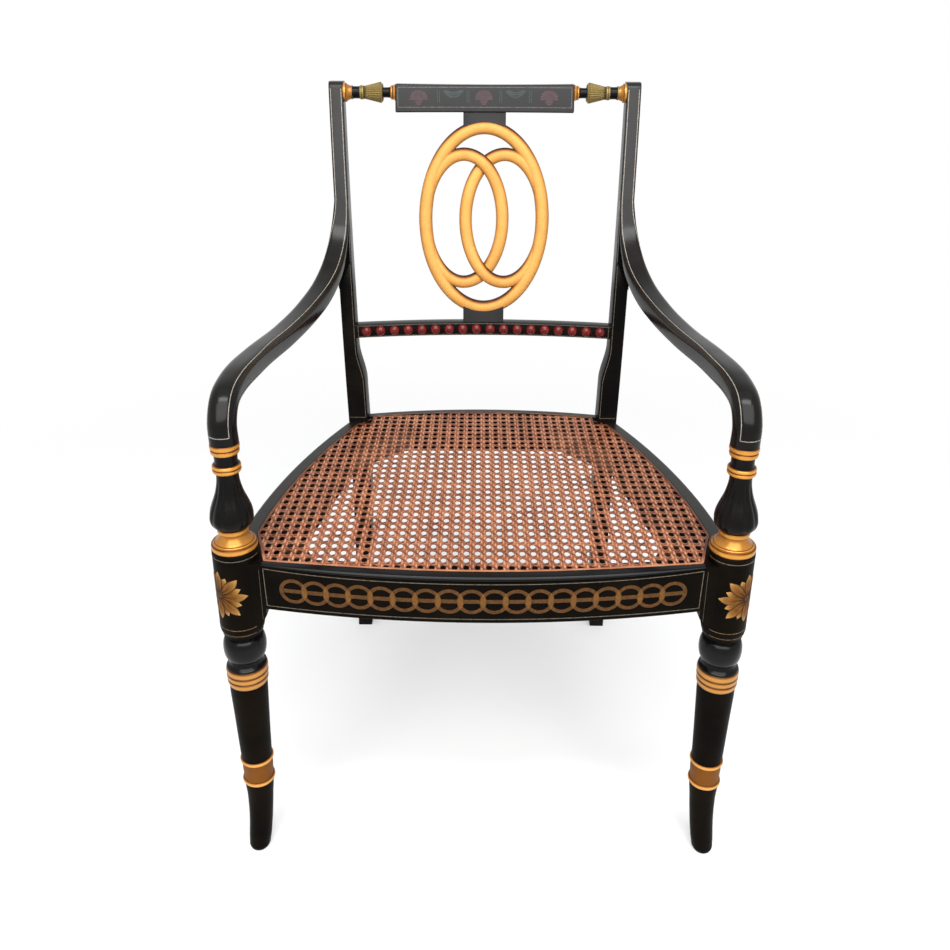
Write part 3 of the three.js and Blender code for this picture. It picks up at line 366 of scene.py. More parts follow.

# %% [markdown]
# Gold leaf is laid over yellow and red clay and burnished. The eye sees a soft metal that is bright where it swells
# and brown in the hollows. Both are painted into the colour, which follows each piece's tone attribute, 0 in a
# quirk and 1 on the crest of a moulding: a painted highlight on the crests and painted shade in the hollows. It is
# mixed from metal and varnish, so it is only half metallic.

# %% Gold leaf


def gold_leaf(name, bright, deep, hollow, rough, metal, shine=0.25):
    """Leaf or bronze: its colour runs from hollow to deep to bright with tone, broken up by rubbing.

    The rubbing is in clouds of about 13 mm, and the pores of the leaf are about 1.5 mm apart.
    """
    material, tree, shader, place = new_finish(name)
    tone = node(tree, "ShaderNodeAttribute", attribute_name="tone")
    clouds = node(tree, "ShaderNodeTexNoise", {"Vector": place, "Scale": 75.0, "Detail": 6.0, "Roughness": 0.6})
    worn = node(tree, "ShaderNodeMapRange", {"Value": clouds.outputs["Fac"], "To Min": -0.14, "To Max": 0.14})
    share = node(tree, "ShaderNodeMath", {0: tone.outputs["Fac"], 1: worn.outputs[0]}, operation="ADD")
    pores = node(tree, "ShaderNodeTexNoise", {"Vector": place, "Scale": 700.0, "Detail": 3.0})
    gloss = node(tree, "ShaderNodeMapRange", {
        "Value": pores.outputs["Fac"], "To Min": rough - 0.08, "To Max": rough + 0.1,
    })
    # On turned and carved gilding this ramp paints shade into the quirks and a highlight onto the crests.
    coat(tree, shader, share.outputs[0], [(0.0, hollow), (0.38, deep), (0.85, bright)], {
        "Roughness": gloss.outputs[0], "Metallic": metal, "Specular IOR Level": shine,
    }, pores.outputs["Fac"], 0.12, 0.0003)
    return material


# The splat and collars: warm, bright leaf, burnished with an agate.
gilt = gold_leaf("gold_leaf", "#c69049", "#945819", "#341a06", 0.55, 0.3)
# The supports' mouldings: a painted highlight on the crests and painted shade in the hollows.
worn_gilt = gold_leaf("worn_gold_leaf", "#c0863a", "#784410", "#261304", 0.3, 0.5)
# The legs' rings and the spindles' ends: leaf gone brown under old varnish.
dark_leaf = gold_leaf("dark_gold_leaf", "#b17c3a", "#683a0f", "#241203", 0.3, 0.5)
# The band above each foot and the flowers' ribs: flat brown bronze powder.
bronze_paint = gold_leaf("bronze_paint", "#704210", "#5e3609", "#2b1704", 0.5, 0.1, 0.1)
# The flowers' petals: ochre at the heart, paler at the tips.
petal_gold = gold_leaf("petal_gold_paint", "#a17a42", "#5f3708", "#241203", 0.5, 0.05, 0.1)
# The spindles' cones: bronze powder over green, which reads as olive.
olive_bronze = gold_leaf("olive_bronze", "#7d6b3c", "#594a26", "#241c0c", 0.45, 0.4)
print("gilding:", [m.name for m in bpy.data.materials if "gold" in m.name or "bronze" in m.name])

# %% [markdown]
# The painted lines and figures are oil colour or bronze powder in varnish. The paint lies flat and is a little
# worn, so the black shows through it in small spots.

# %% Painted ornament


def ornament_paint(name, fresh, faded, shine=0.2):
    """Oil colour or bronze powder painted on the lacquer, thinner where it is rubbed, in spots of about 3 mm."""
    material, tree, shader, place = new_finish(name)
    rubbed = node(tree, "ShaderNodeTexNoise", {"Vector": place, "Scale": 320.0, "Detail": 5.0, "Roughness": 0.7})
    coat(tree, shader, rubbed.outputs["Fac"], [(0.35, faded), (0.62, fresh)], {
        "Roughness": 0.34, "Specular IOR Level": shine,
    }, rubbed.outputs["Fac"])
    return material


# The lines on the arms and posts, which still stand out, and those on the rails, legs and tablet, which don't.
cream_line = ornament_paint("cream_line_paint", "#948d80", "#6a6357", 0.3)
dim_line = ornament_paint("rubbed_cream_line_paint", "#655c4e", "#3b352b")
# The two lines at the foot of each block: bronze powder, rubbed.
rubbed_gold_line = ornament_paint("rubbed_gold_line_paint", "#695130", "#3c2d18")
# The rail's rings: one coat of ochre, and two coats where they overlap.
ochre_line = ornament_paint("ochre_ring_paint", "#543618", "#3b250e", 0.1)
bright_ochre = ornament_paint("bright_ochre_paint", "#68410e", "#4e3108")
# The tablet's palmettes and swags: a dull red and a dull green, almost gone.
madder = ornament_paint("faded_madder_paint", "#371a21", "#221417", 0.23)
verdigris = ornament_paint("faded_verdigris_paint", "#1a2a27", "#121b1a", 0.23)
print("paints:", [m.name for m in bpy.data.materials if m.name.endswith("paint")])

# %% [markdown]
# The beads are painted oxblood and varnished, so a deep red-brown, in brush marks of about 4 mm, shows a small,
# sharp highlight. Split cane is the rattan's own glossy skin: orange-brown, each strand its own tone, the pairs
# from front to back lightest and the diagonals darkest. Its fibres are a quarter of a millimetre wide and 12 mm
# long and have to follow the strand, so they read the piece's own UV map, which is in millimetres. Its blotches are
# about 22 mm across.

# %% Red beads and cane
oxblood, tree, shader, place = new_finish("oxblood_varnish")
clouds = node(tree, "ShaderNodeTexNoise", {"Vector": place, "Scale": 260.0, "Detail": 3.0})
coat(tree, shader, clouds.outputs["Fac"], [(0.3, "#4a0e0c"), (0.7, "#6c1916")], {
    "Roughness": 0.14, "Specular IOR Level": 0.25,
})

cane, tree, shader, place = new_finish("split_cane")
tone = node(tree, "ShaderNodeAttribute", attribute_name="tone")
surface = node(tree, "ShaderNodeUVMap", uv_map="surface_mm")
stretched = node(tree, "ShaderNodeMapping", {"Vector": surface.outputs[0], "Scale": (4.0, 0.08, 1.0)})
fibres = node(tree, "ShaderNodeTexNoise", {"Vector": stretched.outputs[0], "Scale": 1.0, "Detail": 3.0})
blotch = node(tree, "ShaderNodeTexNoise", {"Vector": place, "Scale": 45.0, "Detail": 3.0})
total = node(tree, "ShaderNodeMath", {0: tone.outputs["Fac"], 1: fibres.outputs["Fac"]}, operation="ADD")
total = node(tree, "ShaderNodeMath", {0: total.outputs[0], 1: blotch.outputs["Fac"]}, operation="ADD")
share = node(tree, "ShaderNodeMapRange", {"Value": total.outputs[0], "From Min": 0.75, "From Max": 2.0})
coat(tree, shader, share.outputs[0], [(0.0, "#2c1005"), (0.5, "#8a4f33"), (1.0, "#bb8464")], {
    "Roughness": 0.45, "Specular IOR Level": 0.3,
}, fibres.outputs["Fac"], 0.3)
print("seat and beads:", cane.name, oxblood.name)

# %% [markdown]
# Under the seat are beech blocks, coloured a dry, dark brown with a straight grain 2 mm wide and 25 mm long, and
# turned steel screws. Real turning marks are finer than the 1 mm drawn here, which is what can show. The screws
# behind the posts are closed with lacquered plugs. These pieces keep their CAD shapes and change their materials.

# %% The hidden wood and steel
beech, tree, shader, place = new_finish("dark_brown_beech")
stretched = node(tree, "ShaderNodeMapping", {"Vector": place, "Scale": (40.0, 500.0, 500.0)})
grain = node(tree, "ShaderNodeTexNoise", {"Vector": stretched.outputs[0], "Scale": 1.0, "Detail": 4.0})
coat(tree, shader, grain.outputs["Fac"], [(0.25, "#3a2412"), (0.75, "#5a3c20")], {
    "Roughness": 0.7,
}, grain.outputs["Fac"], 0.2, 0.0003)

steel, tree, shader, place = new_finish("turned_steel")
marks = node(tree, "ShaderNodeTexNoise", {"Vector": place, "Scale": 900.0, "Detail": 2.0})
coat(tree, shader, marks.outputs["Fac"], [(0.3, "#77777a"), (0.7, "#a4a4a6")], {
    "Metallic": 1.0, "Roughness": 0.38,
})

hidden_finishes = {
    "corner_block": beech, "corner_screw": steel, "arm_screw": steel, "arm_screw_plug": polished_lacquer,
}
hidden_pieces = [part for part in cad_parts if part.startswith(tuple(hidden_finishes))]
for part in hidden_pieces:
    finish = [made for start, made in hidden_finishes.items() if part.startswith(start)][-1]
    materials = bpy.data.objects[part].data.materials
    materials.clear()
    materials.append(finish)
print("hidden pieces keep their CAD shapes:", hidden_pieces)

# %% [markdown]
# ## Turned pieces
#
# A turning is a profile spun round an axis. The profile is written as the turner would call it out: from where the
# tool stands, go to this height and radius, straight or with a swell. A positive swell is a bead, a negative one a
# hollow. A bead's tone goes from 0 in the quirks to 1 on its crest, a painted highlight on the crest and painted
# shade in the quirks; straight stretches and hollows keep one middle tone.

# %% A turner's profile
straight_step, swell_steps = 4.0, 12
straight_tone = 0.62


def turner_profile(start, *moves):
    """Heights, radii and tones along a profile.

    A move is (height, radius, swell): a straight line to that height and radius, plus swell * sin(turn) across
    it, which makes half an ellipse.
    """
    heights, radii, tones = [start[0]], [start[1]], [0.0]
    for height, radius, swell in moves:
        low, near = heights[-1], radii[-1]
        count = max(2, int(abs(height - low) / straight_step)) if swell == 0 else swell_steps
        turn = np.linspace(0, math.pi, count + 1)[1:]
        share = turn / math.pi if swell == 0 else (1 - np.cos(turn)) / 2
        heights.extend(mix(low, height, share))
        radii.extend(mix(near, radius, share) + swell * np.sin(turn))
        # Painted highlight and shade: a bead's tone is sin^2 of the turn, 1 on its crest and 0 in its quirks.
        tones.extend(np.sin(turn) ** 2 if swell > 0 else straight_tone + 0 * turn)
    return np.array([heights, radii, tones]).T


print("a bead of one move has", len(turner_profile((0.0, 5.0), (4.0, 5.0, 1.0))), "points")

# %% [markdown]
# The lathe spins the profile round an axis. The legs lean a little and kick forward at the foot, so the axis
# itself is a curve. Reeds are cut into some turnings: rounded ribs that run along them.

# %% The lathe and the leg's axis
leg_lean = 0.0331
foot_kick = 20.0
foot_flare = 4.0
leg_route_shares = np.array([
    [0, 0.33, 1], [0.046, 0, 0.9], [0.139, -0.58, 0.72], [0.248, -0.85, 0.54], [0.37, -0.7, 0.36],
    [0.5, -0.35, 0.22], [0.62, -0.15, 0.11], [0.74, 0, 0.04], [0.93, 0, 0], [1, 0, 0],
])


def leg_axis(height):
    """Axis of the front leg and arm support: leans outwards by leg_lean, and curves at the foot."""
    share = np.clip(np.asarray(height) / block_bottom, 0, 1)
    out = curve_through(leg_route_shares[:, 0], leg_route_shares[:, 1], share)
    forward = curve_through(leg_route_shares[:, 0], leg_route_shares[:, 2], share)
    return post_half_span + leg_lean * (seat_height - height) + foot_flare * out, -foot_kick * forward


def lathe(profile, axis, sides=72, reeds=0, reed_depth=0.0):
    """Spins a profile round an axis: axis + radius * (sin a, -cos a) at each height.

    Reeds are rounded ribs: the radius loses depth * (1 - |cos(reeds * a / 2)|).
    """
    heights = np.concatenate([[profile[0, 0]], profile[:, 0], [profile[-1, 0]]])
    radii = np.concatenate([[0.0], profile[:, 1], [0.0]])
    tones = np.concatenate([profile[:1, 2], profile[:, 2], profile[-1:, 2]])[:, None]
    angle = np.linspace(0, 2 * math.pi, sides + 1)
    depth = np.broadcast_to(np.asarray(reed_depth, float), profile[:, 0].shape)
    depth = np.concatenate([[0.0], depth, [0.0]])
    hollow = depth[:, None] * (1 - np.abs(np.cos(reeds * angle / 2)))[None, :] if reeds else 0.0
    radius = np.maximum(radii[:, None] - hollow, 0.0)
    x, y = (np.broadcast_to(shift, heights.shape)[:, None] for shift in axis(heights))
    up = np.repeat(heights[:, None], len(angle), axis=1)
    return toned(np.stack([x + radius * np.sin(angle), y - radius * np.cos(angle), up], axis=-1), tones)


def on_leg(*profiles):
    """Turnings on the leg's own axis."""
    return [lathe(profile, leg_axis) for profile in profiles]


print("leg axis at the floor:", [round(float(v), 1) for v in leg_axis(0.0)], "mm")

# %% [markdown]
# A front leg is one turning. From the floor up: a tapered foot, a gilt collar, a plain shaft, three gilt rings,
# a ball, and the round block under the arm. Each stretch is its own profile, in millimetres from the floor.

# %% The front legs' turning
foot = turner_profile(
    (0.0, 7.6), (2.0, 10.8, 0.4), (8.0, 12.9, 0.5), (20.0, 13.7, 0), (56.0, 14.4, 0), (84.0, 15.5, 0),
    (100.8, 17.0, 0), (105.6, 17.3, 0),
)
shaft = turner_profile((140.6, 17.9), (175.0, 19.0, 0), (210.0, 20.15, 0), (238.0, 21.2, 0), (250.5, 21.3, 0))
ball = turner_profile(
    (275.0, 22.2), (276.6, 22.0, 0.2), (280.6, 18.8, -0.8), (284.4, 17.9, -0.1), (285.6, 18.5, 0.2),
    (316.2, 19.0, 5.1), (317.6, 19.2, -0.2), (320.6, 20.6, 0),
)
leg_block = turner_profile(
    (320.6, 20.6), (322.4, 21.9, 0.5), (325.4, 22.5, 0), (329.2, 23.8, 0.2), (332.0, block_radius, 0),
    (block_top - 1.0, block_radius, 0), (block_top, 23.6, 0),
)
both_sides("leg_turning", on_leg(foot, shaft), dull_lacquer, "lacquer")
both_sides("leg_ball", on_leg(ball), burnished_lacquer, "lacquer")
print("leg:", round(float(shaft[0, 1]), 1), "to", round(float(shaft[-1, 1]), 1), "mm in radius along the shaft")

# %% [markdown]
# A squared heel stays on the inner side of each block, so that the rails' tenons meet flat wood. Its underside
# tapers into the turned leg, and its top is cut away at one corner for the cane. Both are rings of the same plan
# outline at a few heights.

# %% The heel and the block
heel_inner, heel_outer = post_half_span - 30.0, post_half_span + 8.0
heel_front, heel_rear = -17.7, block_radius
heel_cut_in, heel_cut_front = 8.4, -10.1
taper_low, taper_high, taper_reach = 32.0, 8.0, 0.62
cane_sink = 2.4
cane_level = seat_height - cane_sink
heel_full = [(heel_inner, heel_front), (heel_outer, heel_front), (heel_outer, heel_rear), (heel_inner, heel_rear)]
heel_cut = [*heel_full[:3], (heel_inner + heel_cut_in, heel_rear), (heel_inner, heel_cut_front)]


def stacked(outline, levels):
    """Closed block: the plan outline at each (height, reach), drawn in towards the leg's axis by its reach."""
    centre = np.array([post_half_span, 0.0])
    ring = np.array([*outline, outline[0]])
    rows = [np.column_stack([mix(centre, ring, reach), np.full(len(ring), level)]) for level, reach in levels]
    return capped(np.array(rows))


heel_foot = stacked(
    heel_full, ((rail_bottom - taper_low, taper_reach), (rail_bottom - taper_high, 1.0), (cane_level, 1.0)),
)
heel_head = stacked(heel_cut, ((cane_level, 1.0), (seat_height, 1.0)))
both_sides("leg_block", [*on_leg(leg_block), heel_foot, heel_head], dull_lacquer, "lacquer", ["front_leg_NODE"])
print("block from", block_bottom, "to", block_top, "mm")

# %% [markdown]
# The gilding lies on the turned beads, so each gilt stretch is its own profile in its own material: bright leaf on
# the collar's beads, bronze powder on the band between them, and darkened leaf on the three rings.

# %% The front legs' gilding
collar_low = turner_profile((105.6, 17.2), (111.0, 17.4, 1.9))
collar_band = turner_profile((111.0, 17.4), (125.0, 17.9, -0.15), (135.6, 17.8, 0))
collar_high = turner_profile((135.6, 17.6), (140.6, 17.6, 2.0))
leg_rings = turner_profile((250.5, 21.2), (258.6, 22.0, 1.3), (266.4, 22.5, 1.1), (275.0, 22.2, 1.1))
both_sides("leg_collar", on_leg(collar_low, collar_high), gilt, "gilt")
both_sides("leg_rings", on_leg(leg_rings), dark_leaf, "gilt")
both_sides("leg_bronze", on_leg(collar_band), bronze_paint, "gilt")
print("gilt collar:", round(float(collar_high[-1, 0] - collar_low[0, 0]), 1), "mm tall")

# %% [markdown]
# The support that carries the arm is a small baluster with faint reeds, between a gilt base and two pairs of
# gilt rings. Reeds are cut with the dividing head of the lathe, so they are a cosine of the turn angle that fades
# out at both ends of the belly.

# %% Arm supports
support_height = 120.0
support_base = block_top + joint_gap
support_gilt_base = turner_profile(
    (support_base, 23.5), (support_base + 6.4, 23.2, 1.0), (support_base + 6.6, 21.2, 0),
    (support_base + 8.6, 20.4, 0.5), (support_base + 17.4, 14.6, -1.6), (support_base + 18.0, 14.6, 0),
    (support_base + 24.4, 14.8, 1.7),
)
belly_low, belly_high, reeded = 24.4, 88.4, 58.0
reed_count, reed_cut = 12, 1.1
baluster_rows = np.array([
    [24.4, 15.2], [26.5, 17.4], [28.7, 20.5], [31.7, 22.1], [35.6, 22.8], [40.1, 22.5], [45.1, 21.5], [51.1, 19.6],
    [57.1, 17.3], [63.1, 15.1], [69.1, 13.5], [76.1, 12.1], [82.6, 11.4], [88.4, 11.3],
])
baluster_heights = np.linspace(belly_low, belly_high, 60)
baluster = np.column_stack([
    support_base + baluster_heights, curve_through(baluster_rows[:, 0], baluster_rows[:, 1], baluster_heights),
    0.5 + 0 * baluster_heights,
])
reed_share = np.sin(math.pi * np.clip((baluster_heights - belly_low) / reeded, 0, 1)) ** 0.7
lower_pair = turner_profile(
    (support_base + 88.4, 12.4), (support_base + 93.1, 13.0, 1.9), (support_base + 97.8, 12.4, 1.9),
)
support_neck = turner_profile((support_base + 97.8, 11.8), (support_base + 109.0, 12.1, -0.3))
upper_pair = turner_profile(
    (support_base + 109.0, 12.8), (support_base + 114.5, 13.4, 1.4), (support_base + 120.3, 13.8, 1.4),
)
reeded_belly = lathe(baluster, leg_axis, 96, reed_count, reed_cut * reed_share)
both_sides("baluster", [reeded_belly, *on_leg(support_neck)], turned_lacquer, "lacquer", ["arm_support_NODE"])
both_sides("support_gilding", on_leg(support_gilt_base, lower_pair, upper_pair), worn_gilt, "gilt")
print("support starts at", support_base, "mm")

# %% [markdown]
# ## Back posts
#
# Each post is sawn with its sabre leg from one plank. Its section is a rectangle with softened corners, carried
# up a curve: straight through the seat, sweeping back below it and raking back above. Four functions of the
# height say where its outer and front faces are and how wide and deep it is.

# %% The posts' faces
post_top_outer, post_seat_outer, post_foot_outer = 203.3, 191.2, 211.0
post_top_width, post_seat_width, post_foot_width = 18.8, 27.0, 23.0
post_top_depth, post_seat_depth, post_foot_depth = 24.0, 35.0, 27.0
back_rake, back_curve = 44.0, 48.0
leg_sweep = 80.0
ogee_bottom, ogee_top = 54.0, 104.0
crown_rise, crown_setback, crown_thinning = 7.0, 6.0, 1.4


def post_outer(height):
    """Outer face of the post from the middle: straight above the seat, splayed by a power law below it."""
    above = mix(post_seat_outer, post_top_outer, (height - seat_height) / back_height)
    share = np.clip((rail_bottom - height) / rail_bottom, 0, 1)
    below = mix(post_seat_outer, post_foot_outer, share ** 1.5)
    return np.where(height > seat_height, above, below)


def post_width(height):
    """Width of the post's face, swelling through an ogee above the seat."""
    share = (height - seat_height - ogee_bottom) / (ogee_top - ogee_bottom)
    above = mix(post_seat_width, post_top_width, smooth_step(share))
    return np.where(height > rail_bottom, above, mix(post_foot_width, post_seat_width, height / rail_bottom))


def post_front(height):
    """Front face: back_rake * s + back_curve * s^2 above the seat, a sweep to the power 1.8 below it."""
    share = np.clip((height - seat_height) / back_height, 0, 1)
    below = np.clip((rail_bottom - height) / rail_bottom, 0, 1)
    return seat_depth + back_rake * share + back_curve * share * share + leg_sweep * below ** 1.8


def post_depth(height):
    """Depth from front to back, thinning upwards and towards the foot."""
    above = mix(post_seat_depth, post_top_depth, (height - seat_height) / back_height)
    below = mix(post_foot_depth, post_seat_depth, np.clip(height / rail_bottom, 0, 1))
    return np.where(height > seat_height, above, below)


print("post at the seat:", round(float(post_width(np.float64(seat_height))), 1), "mm wide")

# %% [markdown]
# The section's corners are quarter circles whose radius stays the same while the sides change, so a section keeps
# its sides and its corners apart. The crown at the top is a quarter circle too. The post is made in two lengths,
# which meet behind the arm's lap.

# %% The posts' section
post_corners = [2.6, 2.6, 1.6, 1.6]
post_split_drop = 218.0
post_split = overall_height - post_split_drop


def rounded_rectangle(corner_steps, radii):
    """Unit section as (x side, y side, x corner, y corner): a corner is its side plus radius * (cos, sin)."""
    rows = []
    for number, (side_x, side_y) in enumerate(((1, 1), (-1, 1), (-1, -1), (1, -1))):
        for a in np.linspace(0, math.pi / 2, corner_steps) + number * math.pi / 2:
            corner = radii[number] * (math.cos(a) - side_x), radii[number] * (math.sin(a) - side_y)
            rows.append((side_x, side_y, *corner))
    rows.append(rows[0])
    return np.array(rows)


post_section = rounded_rectangle(5, post_corners)


def post_grid(heights):
    """Rows up the post between its outer and front faces. The crown is sqrt(1 - t^2), t its share of the rise."""
    crown = np.sqrt(np.clip(1 - ((heights - overall_height + crown_rise) / crown_rise).clip(0, 1) ** 2, 0, 1))
    setback = crown_setback * (1 - crown)
    outer, width = post_outer(heights), post_width(heights)
    front, depth = post_front(heights) + setback, post_depth(heights) - crown_thinning * setback
    middle_x, middle_y = outer - width / 2, front + depth / 2
    x = middle_x[:, None] + post_section[:, 0] * width[:, None] / 2 + post_section[:, 2]
    y = middle_y[:, None] + post_section[:, 1] * depth[:, None] / 2 + post_section[:, 3]
    return capped(np.stack([x, y, np.repeat(heights[:, None], len(post_section), 1)], axis=-1))


leg_heights = np.concatenate([np.linspace(0, seat_height, 60), np.linspace(seat_height + 4, post_split, 50)])
crown_heights = overall_height - crown_rise + crown_rise * np.sin(np.linspace(0.15, 1.0, 8) * math.pi / 2)
post_heights = np.concatenate([np.linspace(post_split, overall_height - crown_rise, 60), crown_heights])
both_sides("sabre_leg", [post_grid(leg_heights)], post_lacquer, "lacquer", ["rear_leg_NODE"])
both_sides("back_post", [post_grid(post_heights)], post_lacquer, "lacquer")
print("post at the top:", round(float(post_outer(overall_height)), 1), "mm from the middle")

# %% [markdown]
# ## Arms
#
# An arm is carved from one piece: a round scroll over the support, then a squarer section that sweeps back and
# up and dies into the face of the post. It is a section carried along a curve. The curve runs through a few
# knots, given as shares of the way across, back, up the scroll and up to the lap.

# %% The arm's curve
arm_end = support_base + support_height + joint_gap
scroll_height = 48.2
lap_drop = 141.0
lap_top = overall_height - lap_drop
lap_middle_depth = 4.5
curve_samples = 1200
arm_route_shares = np.array([
    [0, 0, 0, 0], [0.005, 0.001, 0.428, 0], [0.025, 0.028, 0.804, 0], [0.055, 0.1, 0.975, 0],
    [0.165, 0.27, 1, 0], [0.365, 0.48, 1, -0.013], [0.575, 0.66, 1, 0.042], [0.75, 0.79, 1, 0.16],
    [0.88, 0.885, 1, 0.357], [0.965, 0.955, 1, 0.661], [1, 1, 1, 1],
])


def centripetal(knots, count):
    """Catmull-Rom curve with centripetal spacing through the knots, resampled to even steps of length."""
    padded = np.vstack([2 * knots[0] - knots[1], knots, 2 * knots[-1] - knots[-2]])
    gaps = np.linalg.norm(np.diff(padded, axis=0), axis=1) ** 0.5
    times = np.concatenate([[0], gaps.cumsum()])
    at = np.linspace(times[1], times[-2], curve_samples)
    i = np.clip(np.searchsorted(times, at, side="right") - 1, 1, len(times) - 3)

    def lerp(p, q, a, b):
        share = ((at - a) / (b - a))[:, None]
        return p * (1 - share) + q * share

    p0, p1, p2, p3 = (padded[i + k] for k in (-1, 0, 1, 2))
    t0, t1, t2, t3 = (times[i + k] for k in (-1, 0, 1, 2))
    a1, a2, a3 = lerp(p0, p1, t0, t1), lerp(p1, p2, t1, t2), lerp(p2, p3, t2, t3)
    return evenly(lerp(lerp(a1, a2, t0, t2), lerp(a2, a3, t1, t3), t1, t2), count)


def arm_route(count):
    """Middle of the arm from the support to its lap on the post."""
    start_x, start_y = leg_axis(arm_end)
    end_x = post_outer(lap_top) - post_width(lap_top) / 2
    end_y = post_front(lap_top) + lap_middle_depth
    across, back, scroll, climb = arm_route_shares.T
    height = arm_end + scroll * scroll_height + climb * (lap_top - arm_end - scroll_height)
    return centripetal(np.column_stack([mix(start_x, end_x, across), mix(start_y, end_y, back), height]), count)


arm_rows = 150
arm_middle = arm_route(arm_rows)
print("arm's length:", round(float(np.linalg.norm(np.diff(arm_middle, axis=0), axis=1).sum())), "mm")

# %% [markdown]
# The arm leaves the post in the post's own direction, seen from the front and from the side. So near the lap each
# point moves by the difference in slope times its distance below the lap. That move dies away exponentially.

# %% The arm leaves the post
ease_across, ease_back = 10.0, 22.0
short = lap_top - arm_middle[:, 2]
last_step = arm_middle[-1] - arm_middle[-3]
post_slope = float(post_front(lap_top) - post_front(lap_top - 1.0))
post_lean = float(post_outer(lap_top) - post_outer(lap_top - 1.0))
arm_middle[:, 0] += (last_step[0] / last_step[2] - post_lean) * short * np.exp(-short / ease_across)
arm_middle[:, 1] += (last_step[1] / last_step[2] - post_slope) * short * np.exp(-short / ease_back)
print("post's slope at the lap:", round(post_slope, 3), "back and", round(post_lean, 3), "out per mm")

# %% [markdown]
# The section is a superellipse: round at the scroll, squarer along the arm. Its width and thickness are read from
# a few shares along the way, and three unit vectors say how it stands at each row.

# %% The arm's section
arm_width, arm_thickness = 30.0, 28.0
arm_section_shares = np.array([
    [0, 0.98, 0.98], [0.12, 0.93, 0.93], [0.3, 0.86, 0.86], [0.55, 0.86, 0.86], [0.7, 0.91, 0.86],
    [0.82, 0.92, 0.65], [0.9, 0.8, 0.45], [1, 0.627, 0.32],
])
round_power, arm_power, lap_power = 1.0, 0.5, 0.3
arm_along = unit(np.gradient(arm_middle, axis=0))
arm_up = unit(np.cross([1.0, 0, 0], arm_along))
arm_side = np.cross(arm_along, arm_up)
arm_share = np.linspace(0, 1, arm_rows)
arm_half_width = curve_through(arm_section_shares[:, 0], arm_section_shares[:, 1], arm_share) * arm_width / 2
arm_half_thick = curve_through(arm_section_shares[:, 0], arm_section_shares[:, 2], arm_share) * arm_thickness / 2
arm_square = mix(
    mix(round_power, arm_power, smooth_step(arm_share / 0.25)), lap_power, smooth_step((arm_share - 0.82) / 0.12),
)


def arm_point(angle, grow=0.0):
    """Point on the arm's skin at each row: a superellipse, cos and sin raised to a power that squares it."""
    across = np.sign(np.cos(angle)) * np.abs(np.cos(angle)) ** arm_square
    over = np.sign(np.sin(angle)) * np.abs(np.sin(angle)) ** arm_square
    wide = (across * (arm_half_width + grow))[:, None] * arm_side
    return arm_middle + wide + (over * (arm_half_thick + grow))[:, None] * arm_up


arm_grid = np.stack([arm_point(a) for a in np.linspace(0, 2 * math.pi, 49)], axis=1)
arm_grid[0, :, 2] = arm_end


def arm_normal(angle):
    """Outward normal of the arm's skin: the tangent round the section crossed with the one along the curve."""
    around = arm_point(angle + 0.02) - arm_point(angle - 0.02)
    normal = unit(np.cross(around, arm_along))
    return normal * np.sign((normal * (arm_point(angle) - arm_middle)).sum(axis=1))[:, None]


print("arm at the scroll:", round(2 * float(arm_half_width[0]), 1), "mm wide")

# %% [markdown]
# The lap is a plate on the post's face that the arm runs into. It is thickest below, where it is 8 mm proud of
# the post, and thins to nothing at its top. Its lower edge slants up towards the inner side.

# %% The lap on the post
lap_inner_height, lap_outer_height = 76.0, 112.0
lap_proud, lap_sunk, lap_inset = 8.0, 4.0, 0.6


def lap_grid():
    """The lap on the post's face: a plate that thins upwards, its lower edge slanting up to the inner side."""
    heights = np.linspace(0, 1, 30)
    rows = []
    for share in np.linspace(0, 1, 12):
        low = mix(lap_top - lap_inner_height, lap_top - lap_outer_height, share)
        z = mix(low, lap_top, heights)
        x = mix(post_outer(z) - post_width(z) + lap_inset, post_outer(z) - lap_inset, share)
        rows.append(np.stack([x, post_front(z) - mix(lap_proud, 0.0, heights), z], axis=-1))
    face = np.array(rows)
    back = face.copy()
    back[..., 1] = post_front(face[..., 2]) + lap_sunk
    ring = np.concatenate([face, back[:, ::-1], face[:, :1]], axis=1)
    return capped(ring)


both_sides("swept_arm", [capped(arm_grid), lap_grid()], arm_lacquer, "lacquer", ["arm_NODE"])
print("lap:", lap_inner_height, "mm tall at its inner side,", lap_outer_height, "mm at its outer side")

# %% [markdown]
# ## Seat rails
#
# Each rail is a board sawn to a bow, and the legs stand at its ends. So its faces are plan curves: lines between
# the legs, plus a bow that is a parabola. X says where along the front and rear rails, and Y along the sides.

# %% The rails' plan
front_rail_setback, front_rail_end_depth = 7.0, 20.0
front_bow, front_inner_bow = 23.0, 13.0
side_rail_reach, side_rail_front_depth, side_rail_rear_depth, side_bow = 7.0, 42.0, 20.0, 15.6
rear_rail_depth, rear_rail_setback, rear_bow, rear_inner_bow = 18.0, 4.0, 18.0, 14.0
front_face_end = front_rail_setback - block_radius
post_inner = post_seat_outer - post_seat_width
rear_face_end = seat_depth + post_seat_depth - rear_rail_setback


def bow(share):
    """1 in the middle, 0 at both ends: 1 - s^2."""
    return 1 - share * share


def front_face(x):
    """Outside of the front rail: its end, less front_bow * bow, because it bows forwards."""
    return front_face_end - front_bow * bow(x / heel_inner)


def front_inside(x):
    """Inside of the front rail, bowed less than the outside, so that the rail is deepest in the middle."""
    return front_face_end + front_rail_end_depth - front_inner_bow * bow(x / heel_inner)


def side_share(y):
    """Share of the way along a side rail: 0 at the front leg's block, 1 at the back post."""
    return (y - block_radius) / (seat_depth - block_radius)


def side_face(y):
    """Outside of a side rail: a straight line from the front leg to the post, plus side_bow * bow."""
    straight = mix(post_half_span + side_rail_reach, post_seat_outer, side_share(y))
    return straight + side_bow * bow(2 * side_share(y) - 1)


